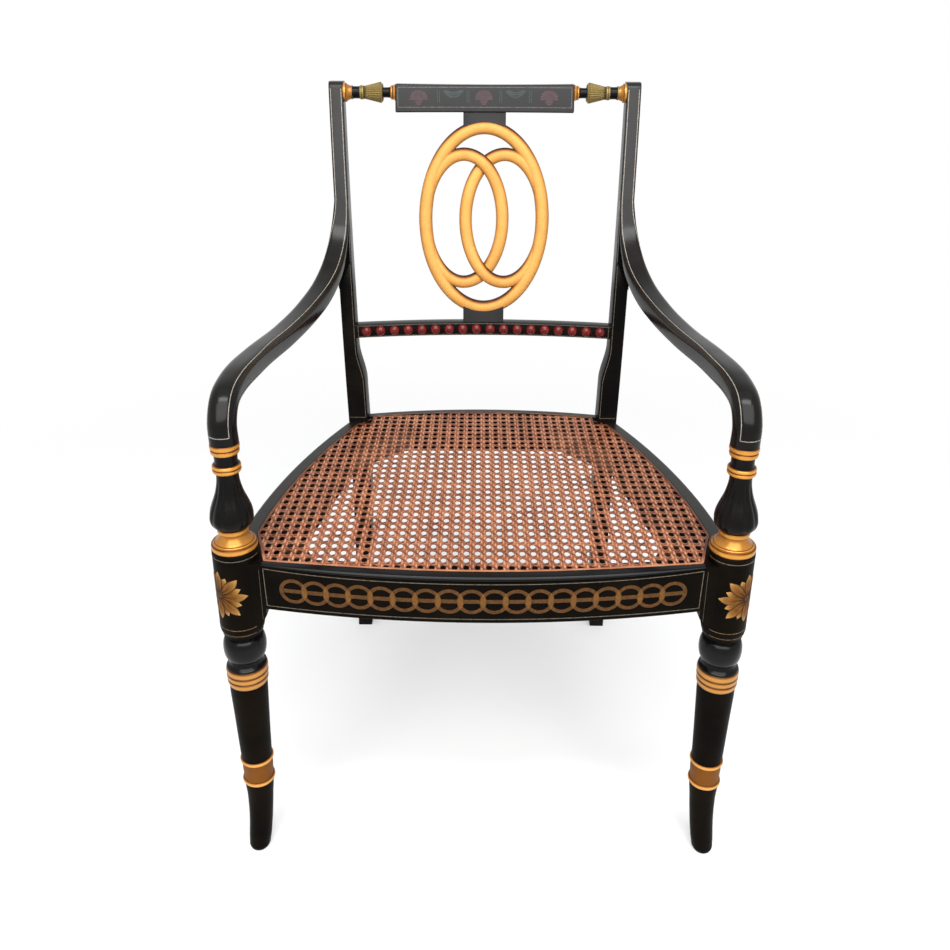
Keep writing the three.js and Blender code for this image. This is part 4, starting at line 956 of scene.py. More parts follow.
def side_inside(y):
    """Inside of a side rail, which is straight."""
    inner = post_half_span + side_rail_reach - side_rail_front_depth
    return mix(inner, post_seat_outer - side_rail_rear_depth, side_share(y))


def rear_face(x):
    """Outside of the rear rail, bowed backwards between the posts."""
    return rear_face_end + rear_bow * bow(x / post_inner)


def rear_inside(x):
    """Inside of the rear rail, bowed a little less."""
    return rear_face_end - rear_rail_depth + rear_inner_bow * bow(x / post_inner)


print("seat:", round(rear_face(0.0) - front_face(0.0), 1), "mm deep over the rails")

# %% [markdown]
# The outer top edge of each rail is a moulding rounded by the hands that grip it, and the part inside it is
# lowered by the thickness of the cane. On the front rail the moulding gets thinner and narrower towards the legs.

# %% The rails' mouldings
front_rim, side_rim, rear_rim, post_rim, corner_cut = 12.0, 17.0, 12.0, 5.0, 48.0
moulding_drop, moulding_thinning, front_narrowing = 5.6, 3.2, 5.0


def front_rim_line(x):
    """Edge of the cane along the front rail: the moulding before it narrows towards the legs, as (x / end)^4."""
    return front_face(x) + front_rim - front_narrowing * (x / heel_inner) ** 4


def front_moulding(x):
    """How far the front rail's edge moulding reaches down: moulding_drop in the middle, less towards the legs."""
    return moulding_drop - moulding_thinning * (x / heel_inner) ** 4


def side_rim_x(y):
    """Edge of the cane along a side rail; in front of corner_cut it runs straight across the leg's heel."""
    end = side_face(corner_cut) - side_rim
    start_y = front_rim_line(heel_inner - joint_gap)
    slanted = mix(heel_inner - joint_gap, end, (y - start_y) / (corner_cut - start_y))
    return np.where(y < corner_cut, slanted, side_face(y) - side_rim)


print("cane edge at mid side:", round(float(side_rim_x(np.float64(200.0))), 1), "mm from the middle")

# %% [markdown]
# A rail is three closed strips that run along it: the board in dull lacquer, the rounded moulding in its polish,
# and the inside in plain stain. Each strip is a section of (distance in from the face, height) pairs, carried
# along the plan curves. A quirk, 1.5 mm deep, parts the moulding from the board.

# %% The rails' sections
face_inset, quirk_depth, chamfer = 0.25, 1.5, 0.8


def rail_grids(face, rim, inside, drop=moulding_drop):
    """A rail's three strips, one row per place along it: the board, the edge moulding and the inside."""
    reach = unit(inside - face)
    rim_reach = np.linalg.norm(rim - face, axis=1)
    depth = np.maximum(np.linalg.norm(inside - face, axis=1), rim_reach + 1.0)
    quirk = seat_height - drop
    edge_round = 0.7 * drop
    board = [
        (0.85, rail_bottom), (face_inset, rail_bottom + 0.6), (face_inset, quirk - 0.6), (quirk_depth, quirk),
        (quirk_depth, quirk + 0.7), (rim_reach, quirk + 0.7), (rim_reach, rail_bottom),
    ]
    inside_part = [
        (rim_reach, rail_bottom), (rim_reach, cane_level), (depth - chamfer, cane_level),
        (depth, cane_level - chamfer), (depth, rail_bottom + chamfer), (depth - chamfer, rail_bottom),
    ]
    edge = [(quirk_depth, quirk + 0.6), (0.1, quirk + 1.2)] + [
        (0.1 + edge_round * (1 - math.cos(a)), seat_height - edge_round * (1 - math.sin(a)))
        for a in np.linspace(0, math.pi / 2, 9)
    ] + [(rim_reach - 0.4, seat_height), (rim_reach, seat_height - 0.4), (rim_reach, quirk + 0.6)]
    made = []
    for section in (board, edge, inside_part):
        section = [(0 * depth + far, z) for far, z in [*section, section[0]]]
        columns = [np.column_stack([face + reach * far[:, None], z + 0 * depth]) for far, z in section]
        made.append(capped(np.stack(columns, axis=1)))
    return made


def rail_pieces(make, name, node_name, edge_finish, grids):
    """Makes a rail's three pieces. The board stands for the CAD node."""
    finishes = (("board", dull_lacquer, [node_name]), ("edge", edge_finish, []), ("inside", inside_stain, []))
    for grid, (part, finish, nodes) in zip(grids, finishes):
        make(f"{name}_{part}", [grid], finish, "lacquer", nodes)


print("section: quirk", quirk_depth, "mm deep, face inset", face_inset, "mm")

# %% [markdown]
# Four rails come from the same section. The side rails' curves are given as X at each Y, the others as Y at each X.

# %% The four rails
along = np.linspace(-heel_inner + joint_gap, heel_inner - joint_gap, 81)
curves = [np.column_stack([along, line(along)]) for line in (front_face, front_rim_line, front_inside)]
rail_pieces(new_piece, "front_rail", "front_rail", burnished_lacquer, rail_grids(*curves, front_moulding(along)))
along = np.linspace(block_radius + joint_gap, seat_depth - joint_gap, 61)
curves = [np.column_stack([line(along), along]) for line in (side_face, side_rim_x, side_inside)]
rail_pieces(both_sides, "side_rail", "side_rail_NODE", rubbed_lacquer, rail_grids(*curves))
along = np.linspace(-post_inner + joint_gap, post_inner - joint_gap, 61)
lines = (rear_face(along), rear_face(along) - rear_rim, rear_inside(along))
rail_pieces(
    new_piece, "rear_rail", "rear_rail", rubbed_lacquer, rail_grids(*(np.column_stack([along, y]) for y in lines)),
)
print("rails:", rail_height, "mm tall, edge moulding", moulding_drop, "mm")

# %% [markdown]
# ## The caned seat
#
# The seat is woven in six ways from split cane: pairs of strands from front to back, pairs from side to side,
# and single diagonals both ways that close the corners of the squares, so that eight-sided holes stay open.
# Every strand is a flattened tube whose height follows the weave.

# %% The cane's outline


def cane_outline(inset):
    """Edge of the cane as a closed ring of points, moved inwards by the inset."""
    x = np.linspace(0, heel_inner - joint_gap - inset, 25)
    front = np.column_stack([x, front_rim_line(x) + inset])
    y = np.linspace(corner_cut, seat_depth - post_rim - inset, 25)
    side = np.column_stack([side_face(y) - side_rim - inset, y])
    notch = post_inner - post_rim - inset
    back_x = np.linspace(notch, 0, 25)
    rear = np.column_stack([back_x, rear_face(back_x) - rear_rim - inset])
    right = np.vstack([front, side, [[notch, seat_depth - post_rim - inset]], rear])
    left = right[1:-1][::-1] * [-1, 1]
    return np.vstack([right, left])


def span_inside(start, direction, outline):
    """First and last distance along a line at which it meets the outline, or None."""
    following = np.roll(outline, -1, axis=0)
    edge = following - outline
    cross = direction[0] * edge[:, 1] - direction[1] * edge[:, 0]
    safe = np.where(np.abs(cross) < 1e-9, 1e-9, cross)
    away = outline - start
    far = (away[:, 0] * edge[:, 1] - away[:, 1] * edge[:, 0]) / safe
    share = (away[:, 0] * direction[1] - away[:, 1] * direction[0]) / safe
    hits = np.sort(far[(share >= 0) & (share < 1) & (np.abs(cross) > 1e-9)])
    if len(hits) < 2:
        return None
    widest = np.argmax(np.diff(hits))
    return hits[widest], hits[widest + 1]


print("cane:", round(float(np.ptp(cane_outline(0.0)[:, 0])), 1), "mm wide at the widest")

# %% [markdown]
# A strand is 3 mm wide and lies in a wave: over its neighbours in one pair and under them in the other. At its
# ends it turns down into the holes, which is an exponential drop of 3 mm. Its section is a flat diamond of four
# sides, because there are hundreds of strands.

# %% Strands
strand_width, strand_thick = 3.05, 0.7
diagonal_width = 2.4
pair_half_gap = 1.6
weave_middle = seat_height - 1.15
end_drop, end_reach, shortest_strand = 3.0, 1.2, 12.0


def weave_wave(distance, pitch):
    """One over-and-under at each crossing of a pair: a sine between the two strands, flat elsewhere."""
    near = (distance + pitch / 2) % pitch - pitch / 2
    return np.where(np.abs(near) < 2 * pair_half_gap, np.sin(math.pi * near / (2 * pair_half_gap)), 0.0)


def strand(start, direction, outline, step, width, lift_at):
    """A flattened tube along a line inside the outline, its height from lift_at, its ends turned down."""
    span = span_inside(start, direction, outline)
    if span is None or span[1] - span[0] < shortest_strand:
        return None
    far = np.linspace(span[0], span[1], max(4, int((span[1] - span[0]) / step)))
    middle = start + far[:, None] * direction
    drop = end_drop * (np.exp(-(far - span[0]) / end_reach) + np.exp(-(span[1] - far) / end_reach))
    height = weave_middle + lift_at(middle) - drop
    side = np.array([-direction[1], direction[0]])
    turn = np.array([[-0.5, 0], [0, 0.5], [0.5, 0], [0, -0.5], [-0.5, 0]])
    flat = middle[:, None, :] + side * turn[:, 0][None, :, None] * width
    up = height[:, None] + turn[:, 1][None, :] * strand_thick
    return capped(np.concatenate([flat, up[..., None]], axis=-1))


print("a strand is", strand_width, "mm wide and", strand_thick, "mm thick")

# %% [markdown]
# The pairs lie 12 mm apart from side to side and 14 mm from front to back. The diagonals pass midway between the
# crossings. The weave is centred between the front and the rear rail.

# %% Laying the strands
column_pitch, row_pitch = 12.0, 14.0
weave_lift, diagonal_lift = 0.45, 0.66
pair_step, diagonal_step = 1.9, 2.3
weave_centre_y = (front_face(0.0) + rear_face(0.0)) / 2
weave_edge = cane_outline(0.6)
lengthways, crossways, slants, counter_slants = [], [], [], []
for column in range(-21, 22):
    for hand in (-1, 1):
        x = column * column_pitch + hand * pair_half_gap
        lengthways.append(strand(
            np.array([x, 0.0]), np.array([0.0, 1.0]), weave_edge, pair_step, strand_width,
            lambda p, hand=hand: -hand * weave_lift * weave_wave(p[:, 1] - weave_centre_y, row_pitch),
        ))
for row in range(-17, 18):
    for hand in (-1, 1):
        y = weave_centre_y + row * row_pitch + hand * pair_half_gap
        crossways.append(strand(
            np.array([0.0, y]), np.array([1.0, 0.0]), weave_edge, pair_step, strand_width,
            lambda p, hand=hand: hand * weave_lift * weave_wave(p[:, 0], column_pitch),
        ))
slant = np.array([column_pitch, -row_pitch])
for number in range(-36, 37):
    start = np.array([(number + 0.5) * column_pitch, weave_centre_y])
    for sign, kept in ((1, slants), (-1, counter_slants)):
        kept.append(strand(
            start, slant * [sign, 1] / np.linalg.norm(slant), weave_edge, diagonal_step, diagonal_width,
            lambda p, sign=sign: sign * diagonal_lift * np.cos(2 * math.pi * p[:, 0] / column_pitch),
        ))
print("strands laid:", sum(s is not None for s in lengthways + crossways + slants + counter_slants))

# %% [markdown]
# No two strands have the same colour, so each gets its own tone at random. Round its section the tone changes
# too: bright on its crown, dark at its edges, where the strand next to it casts a shadow.

# %% The woven seat
chance = np.random.default_rng(7)
strand_shade = np.array([-0.75, 0.3, -0.75, -0.6, -0.75])
for name, strands, nodes, tone in (
    ("cane_lengthways", lengthways, ["cane_panel"], 0.8), ("cane_crossways", crossways, [], 0.5),
    ("cane_slants", slants, [], 0.2), ("cane_counter_slants", counter_slants, [], 0.26),
):
    made = [toned(s, chance.uniform(tone - 0.15, tone + 0.15) + strand_shade) for s in strands if s is not None]
    piece = new_piece(name, made, cane, "cane", nodes, 60.0)
    print(name, len(made), "strands", len(piece.data.polygons), "faces")

# %% [markdown]
# A thin strip of the same cane covers the holes where the strands go down into the rails. Its path is the edge of
# the weave, and its section a low crown. It is bright along the front, and painted shade darkens it along the sides
# and the back.

# %% The binding round the cane
binding_width = 3.0
binding_edge = cane_outline(0.5 + binding_width / 2)
binding_ring = evenly(np.vstack([binding_edge, binding_edge[:1]]), 481)
binding_side = unit(np.gradient(binding_ring, axis=0))[:, ::-1] * [1, -1]
binding_turn = np.array([[-0.5, 0.0], [-0.3, 0.3], [0.0, 0.4], [0.3, 0.3], [0.5, 0.0], [0.0, -0.5], [-0.5, 0.0]])
binding_flat = binding_ring[:, None, :] + binding_side[:, None, :] * binding_turn[None, :, :1] * binding_width
binding_up = seat_height - 0.1 + np.repeat(binding_turn[None, :, 1], len(binding_ring), axis=0)
binding_grid = np.concatenate([binding_flat, binding_up[..., None]], axis=-1)
binding_grid[-1] = binding_grid[0]
# Painted shade: the binding's tone falls from the front to the sides and the back.
binding_tone = mix(0.62, 0.0, smooth_step((binding_ring[:, 1:] + 8.0) / 20.0))
new_piece("binding_strip", [toned(binding_grid, binding_tone)], cane, "cane", ["cane_binding"])
print("binding:", binding_width, "mm wide")

# %% [markdown]
# ## The crest
#
# A bowed tablet hangs between the posts on two turned spindles. The tablet is a rounded board bent to the back.
# Its top edge sinks by 1.2 mm towards the middle, and its lower edge is left a little lower than the solid's.

# %% The tablet
tablet_half_length, tablet_height, tablet_thick, tablet_drop, tablet_bow = 116.3, 32.0, 17.0, 2.5, 6.0
tablet_high = overall_height - tablet_drop
tablet_low = tablet_high - tablet_height
tablet_skirt, tablet_sink = 1.6, 1.2


def tablet_face(x, height):
    """Front of the tablet: level with the posts' faces at its ends and bowed back in the middle."""
    return post_front(height) + tablet_bow * bow(x / tablet_half_length)


def tablet_grid():
    """Rows along the tablet, its section rounded at the corners and leaning with the posts."""
    inner_x = np.linspace(-tablet_half_length + 1, tablet_half_length - 1, 60)
    x = np.concatenate([[-tablet_half_length], inner_x, [tablet_half_length]])
    section = rounded_rectangle(4, [1.6] * 4)
    shrink = np.where(np.abs(x) >= tablet_half_length, 1.0, 0.0)[:, None]
    middle = (tablet_low + tablet_high) / 2
    up = middle + section[:, 0] * (tablet_height / 2 - shrink) + section[:, 2]
    sink = tablet_sink * bow(x / tablet_half_length)[:, None]
    up = up - sink * (section[:, 0] > 0) - tablet_skirt * (section[:, 0] < 0)
    back = tablet_thick / 2 + section[:, 1] * (tablet_thick / 2 - shrink) + section[:, 3]
    y = tablet_face(x[:, None], up) + back
    return capped(np.stack([np.repeat(x[:, None], len(section), 1), y, up], axis=-1))


new_piece("tablet_board", [tablet_grid()], polished_lacquer, "lacquer", ["crest_tablet"])
print("tablet:", 2 * tablet_half_length, "by", tablet_height, "mm")

# %% [markdown]
# Each spindle is turned on its own lathe axis and then laid on its side. It was drawn 64 mm long, and is stretched
# to the distance between post and tablet. From the post: a gilt flare, a black neck between bronze beads, a
# reeded cone, another neck, and a gilt bead at the tablet.

# %% The spindles
spindle_drop, drawn_length = 13.0, 64.0
spindle_height = overall_height - spindle_drop
spindle_y = float(post_front(spindle_height)) + tablet_thick / 2
spindle_start = float(post_outer(spindle_height) - post_width(spindle_height))
spindle_length = spindle_start - tablet_half_length


def on_spindle(grid):
    """Lays a lathe grid on its side: its height runs from the post towards the tablet."""
    x, y, z = spindle_start - grid[..., 2], spindle_y + grid[..., 1], spindle_height + grid[..., 0]
    return np.stack([x, y, z, grid[..., 3]], axis=-1)


def straight(height):
    """An axis without lean."""
    return 0.0 * height, 0.0 * height


stretch = [spindle_length / drawn_length, 1.0, 1.0]
gilt_ends = [
    turner_profile((-0.5, 10.9), (3.6, 11.3, 0.5), (9.7, 8.4, -0.9)),
    turner_profile((57.6, 7.2), (60.6, 8.2, 0.9), (64.4, 10.2, 0.4)),
]
black_necks = [turner_profile((11.0, 7.7), (20.0, 7.7, -0.3)), turner_profile((48.6, 6.5), (57.6, 6.9, -0.5))]
bronze_beads = [
    turner_profile((9.7, 8.3), (11.0, 8.3, 0.2)), turner_profile((20.0, 8.0), (22.2, 8.2, 0.4), (25.2, 7.7, 0.5)),
]
for part, profiles, finish, slot, nodes in (
    ("gilt", gilt_ends, dark_leaf, "gilt", ["crest_spindle_NODE"]),
    ("lacquer", black_necks, turned_lacquer, "lacquer", []), ("line", bronze_beads, olive_bronze, "gilt", []),
):
    grids = [on_spindle(lathe(p * stretch, straight, 48)) for p in profiles]
    both_sides(f"crest_spindle_{part}", grids, finish, slot, nodes)
cone = turner_profile((25.2, 7.6), (45.4, 12.7, 0), (48.6, 9.4, 0.7))
cone_reeds = np.where(cone[:, 0] < 45.5, 0.7, 0.35)
cone_grid = on_spindle(lathe(cone * stretch, straight, 144, 24, cone_reeds))
both_sides("crest_spindle_cone", [cone_grid], olive_bronze, "gilt")
print("spindle:", round(spindle_length, 1), "mm long")

# %% [markdown]
# ## The cross rail and its beads
#
# A bowed rail under the splat carries the beads. It is a rounded section carried along a parabola.

# %% The cross rail
cross_height, cross_top, cross_depth, cross_bow, cross_setback = 18.2, 135.8, 18.0, 16.0, 1.5
cross_high = seat_height + cross_top
cross_low = cross_high - cross_height
cross_middle = (cross_low + cross_high) / 2
cross_end = float(post_outer(cross_middle) - post_width(cross_middle))


def cross_face(x):
    """Front of the cross rail, bowed to the back."""
    return float(post_front(cross_middle)) + cross_setback + cross_bow * bow(x / cross_end)


cross_x = np.linspace(-cross_end - 1, cross_end + 1, 61)
cross_section = rounded_rectangle(4, [1.4] * 4)
cross_up = cross_middle + cross_section[:, 0] * cross_height / 2 + cross_section[:, 2] + 0 * cross_x[:, None]
cross_back = cross_depth / 2 + cross_section[:, 1] * cross_depth / 2 + cross_section[:, 3]
cross_y = cross_face(cross_x)[:, None] + cross_back[None, :]
cross_grid = np.stack([np.repeat(cross_x[:, None], len(cross_section), 1), cross_y, cross_up], axis=-1)
new_piece("cross_rail_board", [capped(cross_grid)], turned_lacquer, "lacquer", ["back_cross_rail"])
print("cross rail:", round(2 * cross_end, 1), "mm between the posts")

# %% [markdown]
# Eighteen turned half beads are glued along the rail. Each is a dome, a quarter of an ellipse spun about an axis
# that is square to the rail's face at its place.

# %% The beads
bead_count, bead_pitch, bead_radius, bead_rise, bead_sunk = 18, 19.0, 6.9, 5.6, 0.8
for number in range(bead_count):
    x = (number - (bead_count - 1) / 2) * bead_pitch
    slope = -2 * cross_bow * x / cross_end ** 2
    forward = unit(np.array([slope, -1.0, 0.0]))
    side = np.cross(forward, [0.0, 0.0, 1.0])
    turn = np.linspace(0, math.pi / 2, 9)
    dome = np.column_stack([bead_rise * np.sin(turn), bead_radius * np.cos(turn), 0.5 + 0 * turn])
    grid = lathe(np.vstack([[-bead_sunk, bead_radius, 0.5], dome]), straight, 28)
    start = np.array([x, cross_face(x), cross_middle])
    placed = start + grid[..., 2:3] * forward + grid[..., 0:1] * side + grid[..., 1:2] * np.array([0, 0, -1.0])
    name = f"bead_{number + 1:02d}"
    new_piece(f"red_{name}", [placed], oxblood, "bead", [name])
print("beads:", bead_count, "at", bead_pitch, "mm")

# %% [markdown]
# ## The splat
#
# The splat is carved from one board: a large oval, and inside it two narrower ovals that pass over and under
# each other. It is drawn upright in its own plane, from the cross rail up to the tablet, and then leaned back.

# %% The splat's plane
splat_foot = np.array([0.0, cross_face(0.0) + cross_depth / 2, cross_high])
splat_head = np.array([0.0, float(tablet_face(0.0, tablet_low)) + tablet_thick / 2, tablet_low])
splat_length = float(np.linalg.norm(splat_head - splat_foot))
splat_tilt = math.atan2(splat_head[1] - splat_foot[1], splat_head[2] - splat_foot[2])
upper_block, lower_block = 13.0, 17.0
oval_half_height = (splat_length - upper_block - lower_block) / 2
oval_centre = lower_block + oval_half_height


def on_splat(grid):
    """From the splat's own plane, where Z runs up along it, to its lean in the back."""
    x, y, z = grid[..., 0], grid[..., 1], grid[..., 2]
    back = y * math.cos(splat_tilt) + z * math.sin(splat_tilt)
    up = -y * math.sin(splat_tilt) + z * math.cos(splat_tilt)
    leaned = np.stack([x, back, up], axis=-1) + splat_foot
    return np.concatenate([leaned, grid[..., 3:]], axis=-1)


print("splat:", round(splat_length, 1), "mm long, leaning", round(math.degrees(splat_tilt), 1), "degrees")

# %% [markdown]
# Each band is a half-round moulding carried round an ellipse. Its gilding has a painted highlight on the crest and
# painted shade towards both edges, darkest on the side that faces up.

# %% A carved band
oval_half_width, oval_band, oval_depth = 88.0, 18.0, 14.0
inner_half_width, inner_height_share, inner_offset, inner_band, inner_depth = 60.8, 0.7517, 27.3, 17.0, 12.0


def oval_grid(half_width, half_height, centre, band, depth, lift_at):
    """A band on an ellipse: across it the front rises as sin(t) ^ 0.75, and the back is flat."""
    angle = np.linspace(0, 2 * math.pi, 181)
    radius_x, radius_z = half_width - band / 2, half_height - band / 2
    middle_x, middle_z = centre[0] + radius_x * np.cos(angle), centre[1] + radius_z * np.sin(angle)
    middle = np.stack([middle_x, -lift_at(angle), middle_z], axis=-1)
    away = unit(np.stack([radius_z * np.cos(angle), 0 * angle, radius_x * np.sin(angle)], axis=-1))
    sweep = np.linspace(0, math.pi, 19)
    reach = list(np.cos(sweep) * band / 2) + [-band * 0.45, -band * 0.4, band * 0.4, band * 0.45, band / 2]
    front = list(-np.sin(sweep) ** 0.75 * depth / 2) + [depth / 2 - 1, depth / 2, depth / 2, depth / 2 - 1, 0.0]
    reach, front = np.array(reach), np.array(front)
    grid = middle[:, None, :] + away[:, None, :] * reach[None, :, None]
    grid[..., 1] += front[None, :]
    share = np.clip(2 * reach / band, -1, 1)[None, :]
    upward = np.clip(share * away[:, 2:], 0, 1)
    # Painted shade: darker towards both edges, and most of all on the edge that faces up.
    tone = 0.82 - 0.35 * np.abs(share) ** 4 - 0.85 * smooth_step((upward - 0.18) / 0.68)
    return toned(grid, np.where(front[None, :] > 0, 0.4, np.clip(tone, 0, 1)))


print("bands:", oval_band, "and", inner_band, "mm wide")

# %% [markdown]
# The inner ovals are pushed forward where they pass over their partner and back where they pass under it, by a
# smooth hump along the band. Each passes over at one crossing and under at the other, so the two are linked.

# %% The interlaced ovals
interlace_lift, interlace_reach = 3.2, 0.11
oval_growth, oval_sink, inner_sink = 4.4, 2.6, 2.3


def inner_oval(side):
    """An inner oval; near a crossing it is lifted or sunk by a smooth hump."""
    radius_x = inner_half_width - inner_band / 2
    crossing = math.acos(inner_offset / radius_x)
    reach = interlace_reach * 2 * math.pi
    upper = crossing if side < 0 else math.pi - crossing

    def near(angle, place):
        apart = np.abs((angle - place + 3 * math.pi) % (2 * math.pi) - math.pi)
        return smooth_step(1 - apart / reach)

    def lift_at(angle):
        return -side * interlace_lift * (near(angle, upper) - near(angle, 2 * math.pi - upper))

    half_height = oval_half_height * inner_height_share
    centre = (side * inner_offset, oval_centre - inner_sink)
    return oval_grid(inner_half_width, half_height, centre, inner_band, inner_depth, lift_at)


outer_oval = oval_grid(
    oval_half_width, oval_half_height + oval_growth, (0.0, oval_centre - oval_sink), oval_band, oval_depth,
    lambda angle: 0 * angle,
)
ovals = [on_splat(grid) for grid in (outer_oval, inner_oval(-1), inner_oval(1))]
new_piece("carved_ovals", ovals, gilt, "gilt", ["splat_rings"])
print("ovals:", round(2 * oval_half_height), "by", round(2 * oval_half_width), "mm")

# %% [markdown]
# Two short blocks carry the ovals: one stands on the cross rail, one hangs under the tablet. Each runs on a
# little at both ends, where the real one has its tenons.

# %% The splat's necks
neck_width, neck_thick = 56.0, 12.0
into_oval, into_rail = 7.0, 1.0


def splat_neck(low, high):
    """A plain block with 1 mm corners in the splat's plane, from low to high."""
    section = rounded_rectangle(3, [1.0] * 4)
    x = section[:, 0] * neck_width / 2 + section[:, 2]
    y = section[:, 1] * neck_thick / 2 + section[:, 3]
    rows = [np.column_stack([x, y, np.full(len(x), level)]) for level in np.linspace(low, high, 4)]
    return on_splat(capped(np.array(rows)))


lower_neck = splat_neck(-into_rail, lower_block + into_oval)
upper_neck = splat_neck(splat_length - upper_block - into_oval, splat_length + into_rail)
new_piece("lower_neck", [lower_neck], rubbed_lacquer, "lacquer", ["splat_lower_block"])
new_piece("upper_neck", [upper_neck], polished_lacquer, "lacquer", ["splat_upper_block"])
print("necks:", neck_width, "by", neck_thick, "mm")

# %% [markdown]
# ## Painted ornament
#
# The chair's ornament is painted: a thin line round every panel, a chain of rings on the front rail, a flower on
# each block, and faded palmettes on the tablet. Each brush stroke is a thin ribbon that follows a path on the
# surface, a tenth of a millimetre proud of it, so it is there from every side and needs no image.

# %% Brush strokes
fine_line, thin_line = 0.9, 0.8
share = np.linspace(0, 1, 15)


def stroke(path, normal, width, rise=0.12, closed=False, tone=0.5):
    """A ribbon on a surface: at each place of the path it is width wide, crowned by rise, and sunk underneath."""
    along = np.gradient(path, axis=0)
    if closed:
        along[0] = along[-1] = path[1] - path[-2]
    side = unit(np.cross(normal, along))
    wide = np.broadcast_to(width, len(path))[:, None, None]
    section = np.array([[-0.5, -0.3], [-0.44, 0.7], [0.0, 1.0], [0.44, 0.7], [0.5, -0.3], [-0.5, -0.3]])
    grid = path[:, None] + side[:, None] * section[:, :1] * wide + normal[:, None] * section[:, 1:] * rise
    tone = np.broadcast_to(tone, len(path))[:, None]
    return toned(grid, tone) if closed else toned(capped(grid), np.concatenate([tone[:1], tone, tone[-1:]]))


def on_face(face, x, z):
    """Points of the face y = face(x, z) and their forward normals (slope in x, -1, slope in z), made unit."""
    x, z = np.broadcast_arrays(np.asarray(x, float), np.asarray(z, float))
    step = 0.05
    slope_x = (face(x + step, z) - face(x - step, z)) / (2 * step)
    slope_z = (face(x, z + step) - face(x, z - step)) / (2 * step)
    normal = unit(np.stack([slope_x, -1 + 0 * slope_x, slope_z], axis=-1))
    return np.stack([x, face(x, z) + 0 * x, z], axis=-1), normal


def face_stroke(face, x, z, width, rise=0.12, closed=False):
    """A brush stroke on the face y = face(x, z)."""
    return stroke(*on_face(face, x, z), width, rise, closed)


def polyline(corners, step=4.0):
    """Points along straight lines between the corners, about a step apart."""
    corners = np.asarray(corners, float)
    lengths = np.linalg.norm(np.diff(corners, axis=0), axis=1)
    parts = [np.linspace(a, b, max(2, int(n / step)))[:-1] for a, b, n in zip(corners, corners[1:], lengths)]
    return np.vstack([*parts, corners[-1:]])


def face_strokes(face, lines, width):
    """Straight strokes on a face, one for each pair of corners (x, z)."""
    return [face_stroke(face, *polyline(line).T, width) for line in lines]


def frame_lines(left, right, low, high):
    """The four sides of a rectangle, each its own line."""
    return [[(left, low), (right, low)], [(left, high), (right, high)], [(left, low), (left, high)],
            [(right, low), (right, high)]]


def leaf_shape(share, tip=0.55):
    """Width of a petal along its length: 0 at its root, full at tip, 0 at its point."""
    return np.where(share < tip, np.sin(share / tip * math.pi / 2), np.cos((share - tip) / (1 - tip) * math.pi / 2))


print("a petal is full at", 0.55, "of its length:", round(float(leaf_shape(np.array([0.55]))[0]), 2))

# %% [markdown]
# The front rail has a line round its face and eighteen tall rings that overlap like a chain, each with a bar
# across it. Where two rings overlap, the two coats of ochre are brighter.

# %% The front rail's chain of rings
ring_count, ring_pitch, ring_middle = 18, 23.6, 388.2
ring_wide, ring_tall, ring_band = 15.5, 15.4, 4.3
bar_width, lens_reach, lens_width = 5.0, 10.0, 6.2
side_inset, foot_inset, moulding_inset = 1.8, 5.0, 2.6


def rail_face(x, z):
    """Front of the front rail, upright at every height."""
    return front_face(x) + face_inset + 0 * z


ring_turn = np.linspace(0, 2 * math.pi, 49)
rings, bars, overlaps = [], [], []
for number in range(ring_count):
    x = (number - (ring_count - 1) / 2) * ring_pitch
    round_x = x + (ring_wide - ring_band / 2) * np.cos(ring_turn)
    round_z = ring_middle + (ring_tall - ring_band / 2) * np.sin(ring_turn)
    rings.append(face_stroke(rail_face, round_x, round_z, ring_band, 0.1 + 0.03 * (number % 2), True))
    bar_x = np.linspace(x - ring_wide + ring_band, x + ring_wide - ring_band, 7)
    bars.append(face_stroke(rail_face, bar_x, ring_middle + 0.2, bar_width, 0.08))
    if number < ring_count - 1:
        lens_z = ring_middle + mix(-lens_reach, lens_reach, share)
        lens = lens_width * np.sin(math.pi * share) ** 0.7
        overlaps.append(face_stroke(rail_face, x + ring_pitch / 2, lens_z, lens, 0.16))
new_piece("rail_rings", rings + bars, ochre_line, "gilt")
new_piece("rail_ring_overlaps", overlaps, bright_ochre, "gilt")
rail_line_x = heel_inner - side_inset
rail_frame = frame_lines(-rail_line_x, rail_line_x, rail_bottom + foot_inset, seat_height - foot_inset)
rail_lines = face_strokes(rail_face, [rail_frame[0], *rail_frame[2:]], fine_line)
top_x = np.linspace(-rail_line_x, rail_line_x, 101)
top_z = seat_height - front_moulding(top_x) - moulding_inset
rail_lines.append(face_stroke(rail_face, top_x, top_z, fine_line))
new_piece("rail_lines", rail_lines, dim_line, "gilt")
print("rail rings:", ring_count)

# %% [markdown]
# Each block has a sixteen-petalled flower, turned outwards. Its petals are drawn flat, as distances from the
# heart, and then wrapped round the block. Long petals have a dark edge, and each petal has three thin ribs.

# %% The blocks' flowers
flower_angle, flower_height = math.radians(40.0), 380.0


def on_block(angle, height, radius=block_radius):
    """Point and outward normal on the block of the right-hand front leg."""
    x, y = leg_axis(height)
    normal = np.stack([np.sin(angle) + 0 * height, -np.cos(angle) + 0 * height, 0 * height + 0 * angle], axis=-1)
    point = np.stack([x + radius * normal[..., 0], y + radius * normal[..., 1], height + 0 * angle], axis=-1)
    return point, normal


def block_path(across, up):
    """From flat places in millimetres round the flower's centre to the block's skin."""
    return on_block(flower_angle + across / block_radius, flower_height + up)


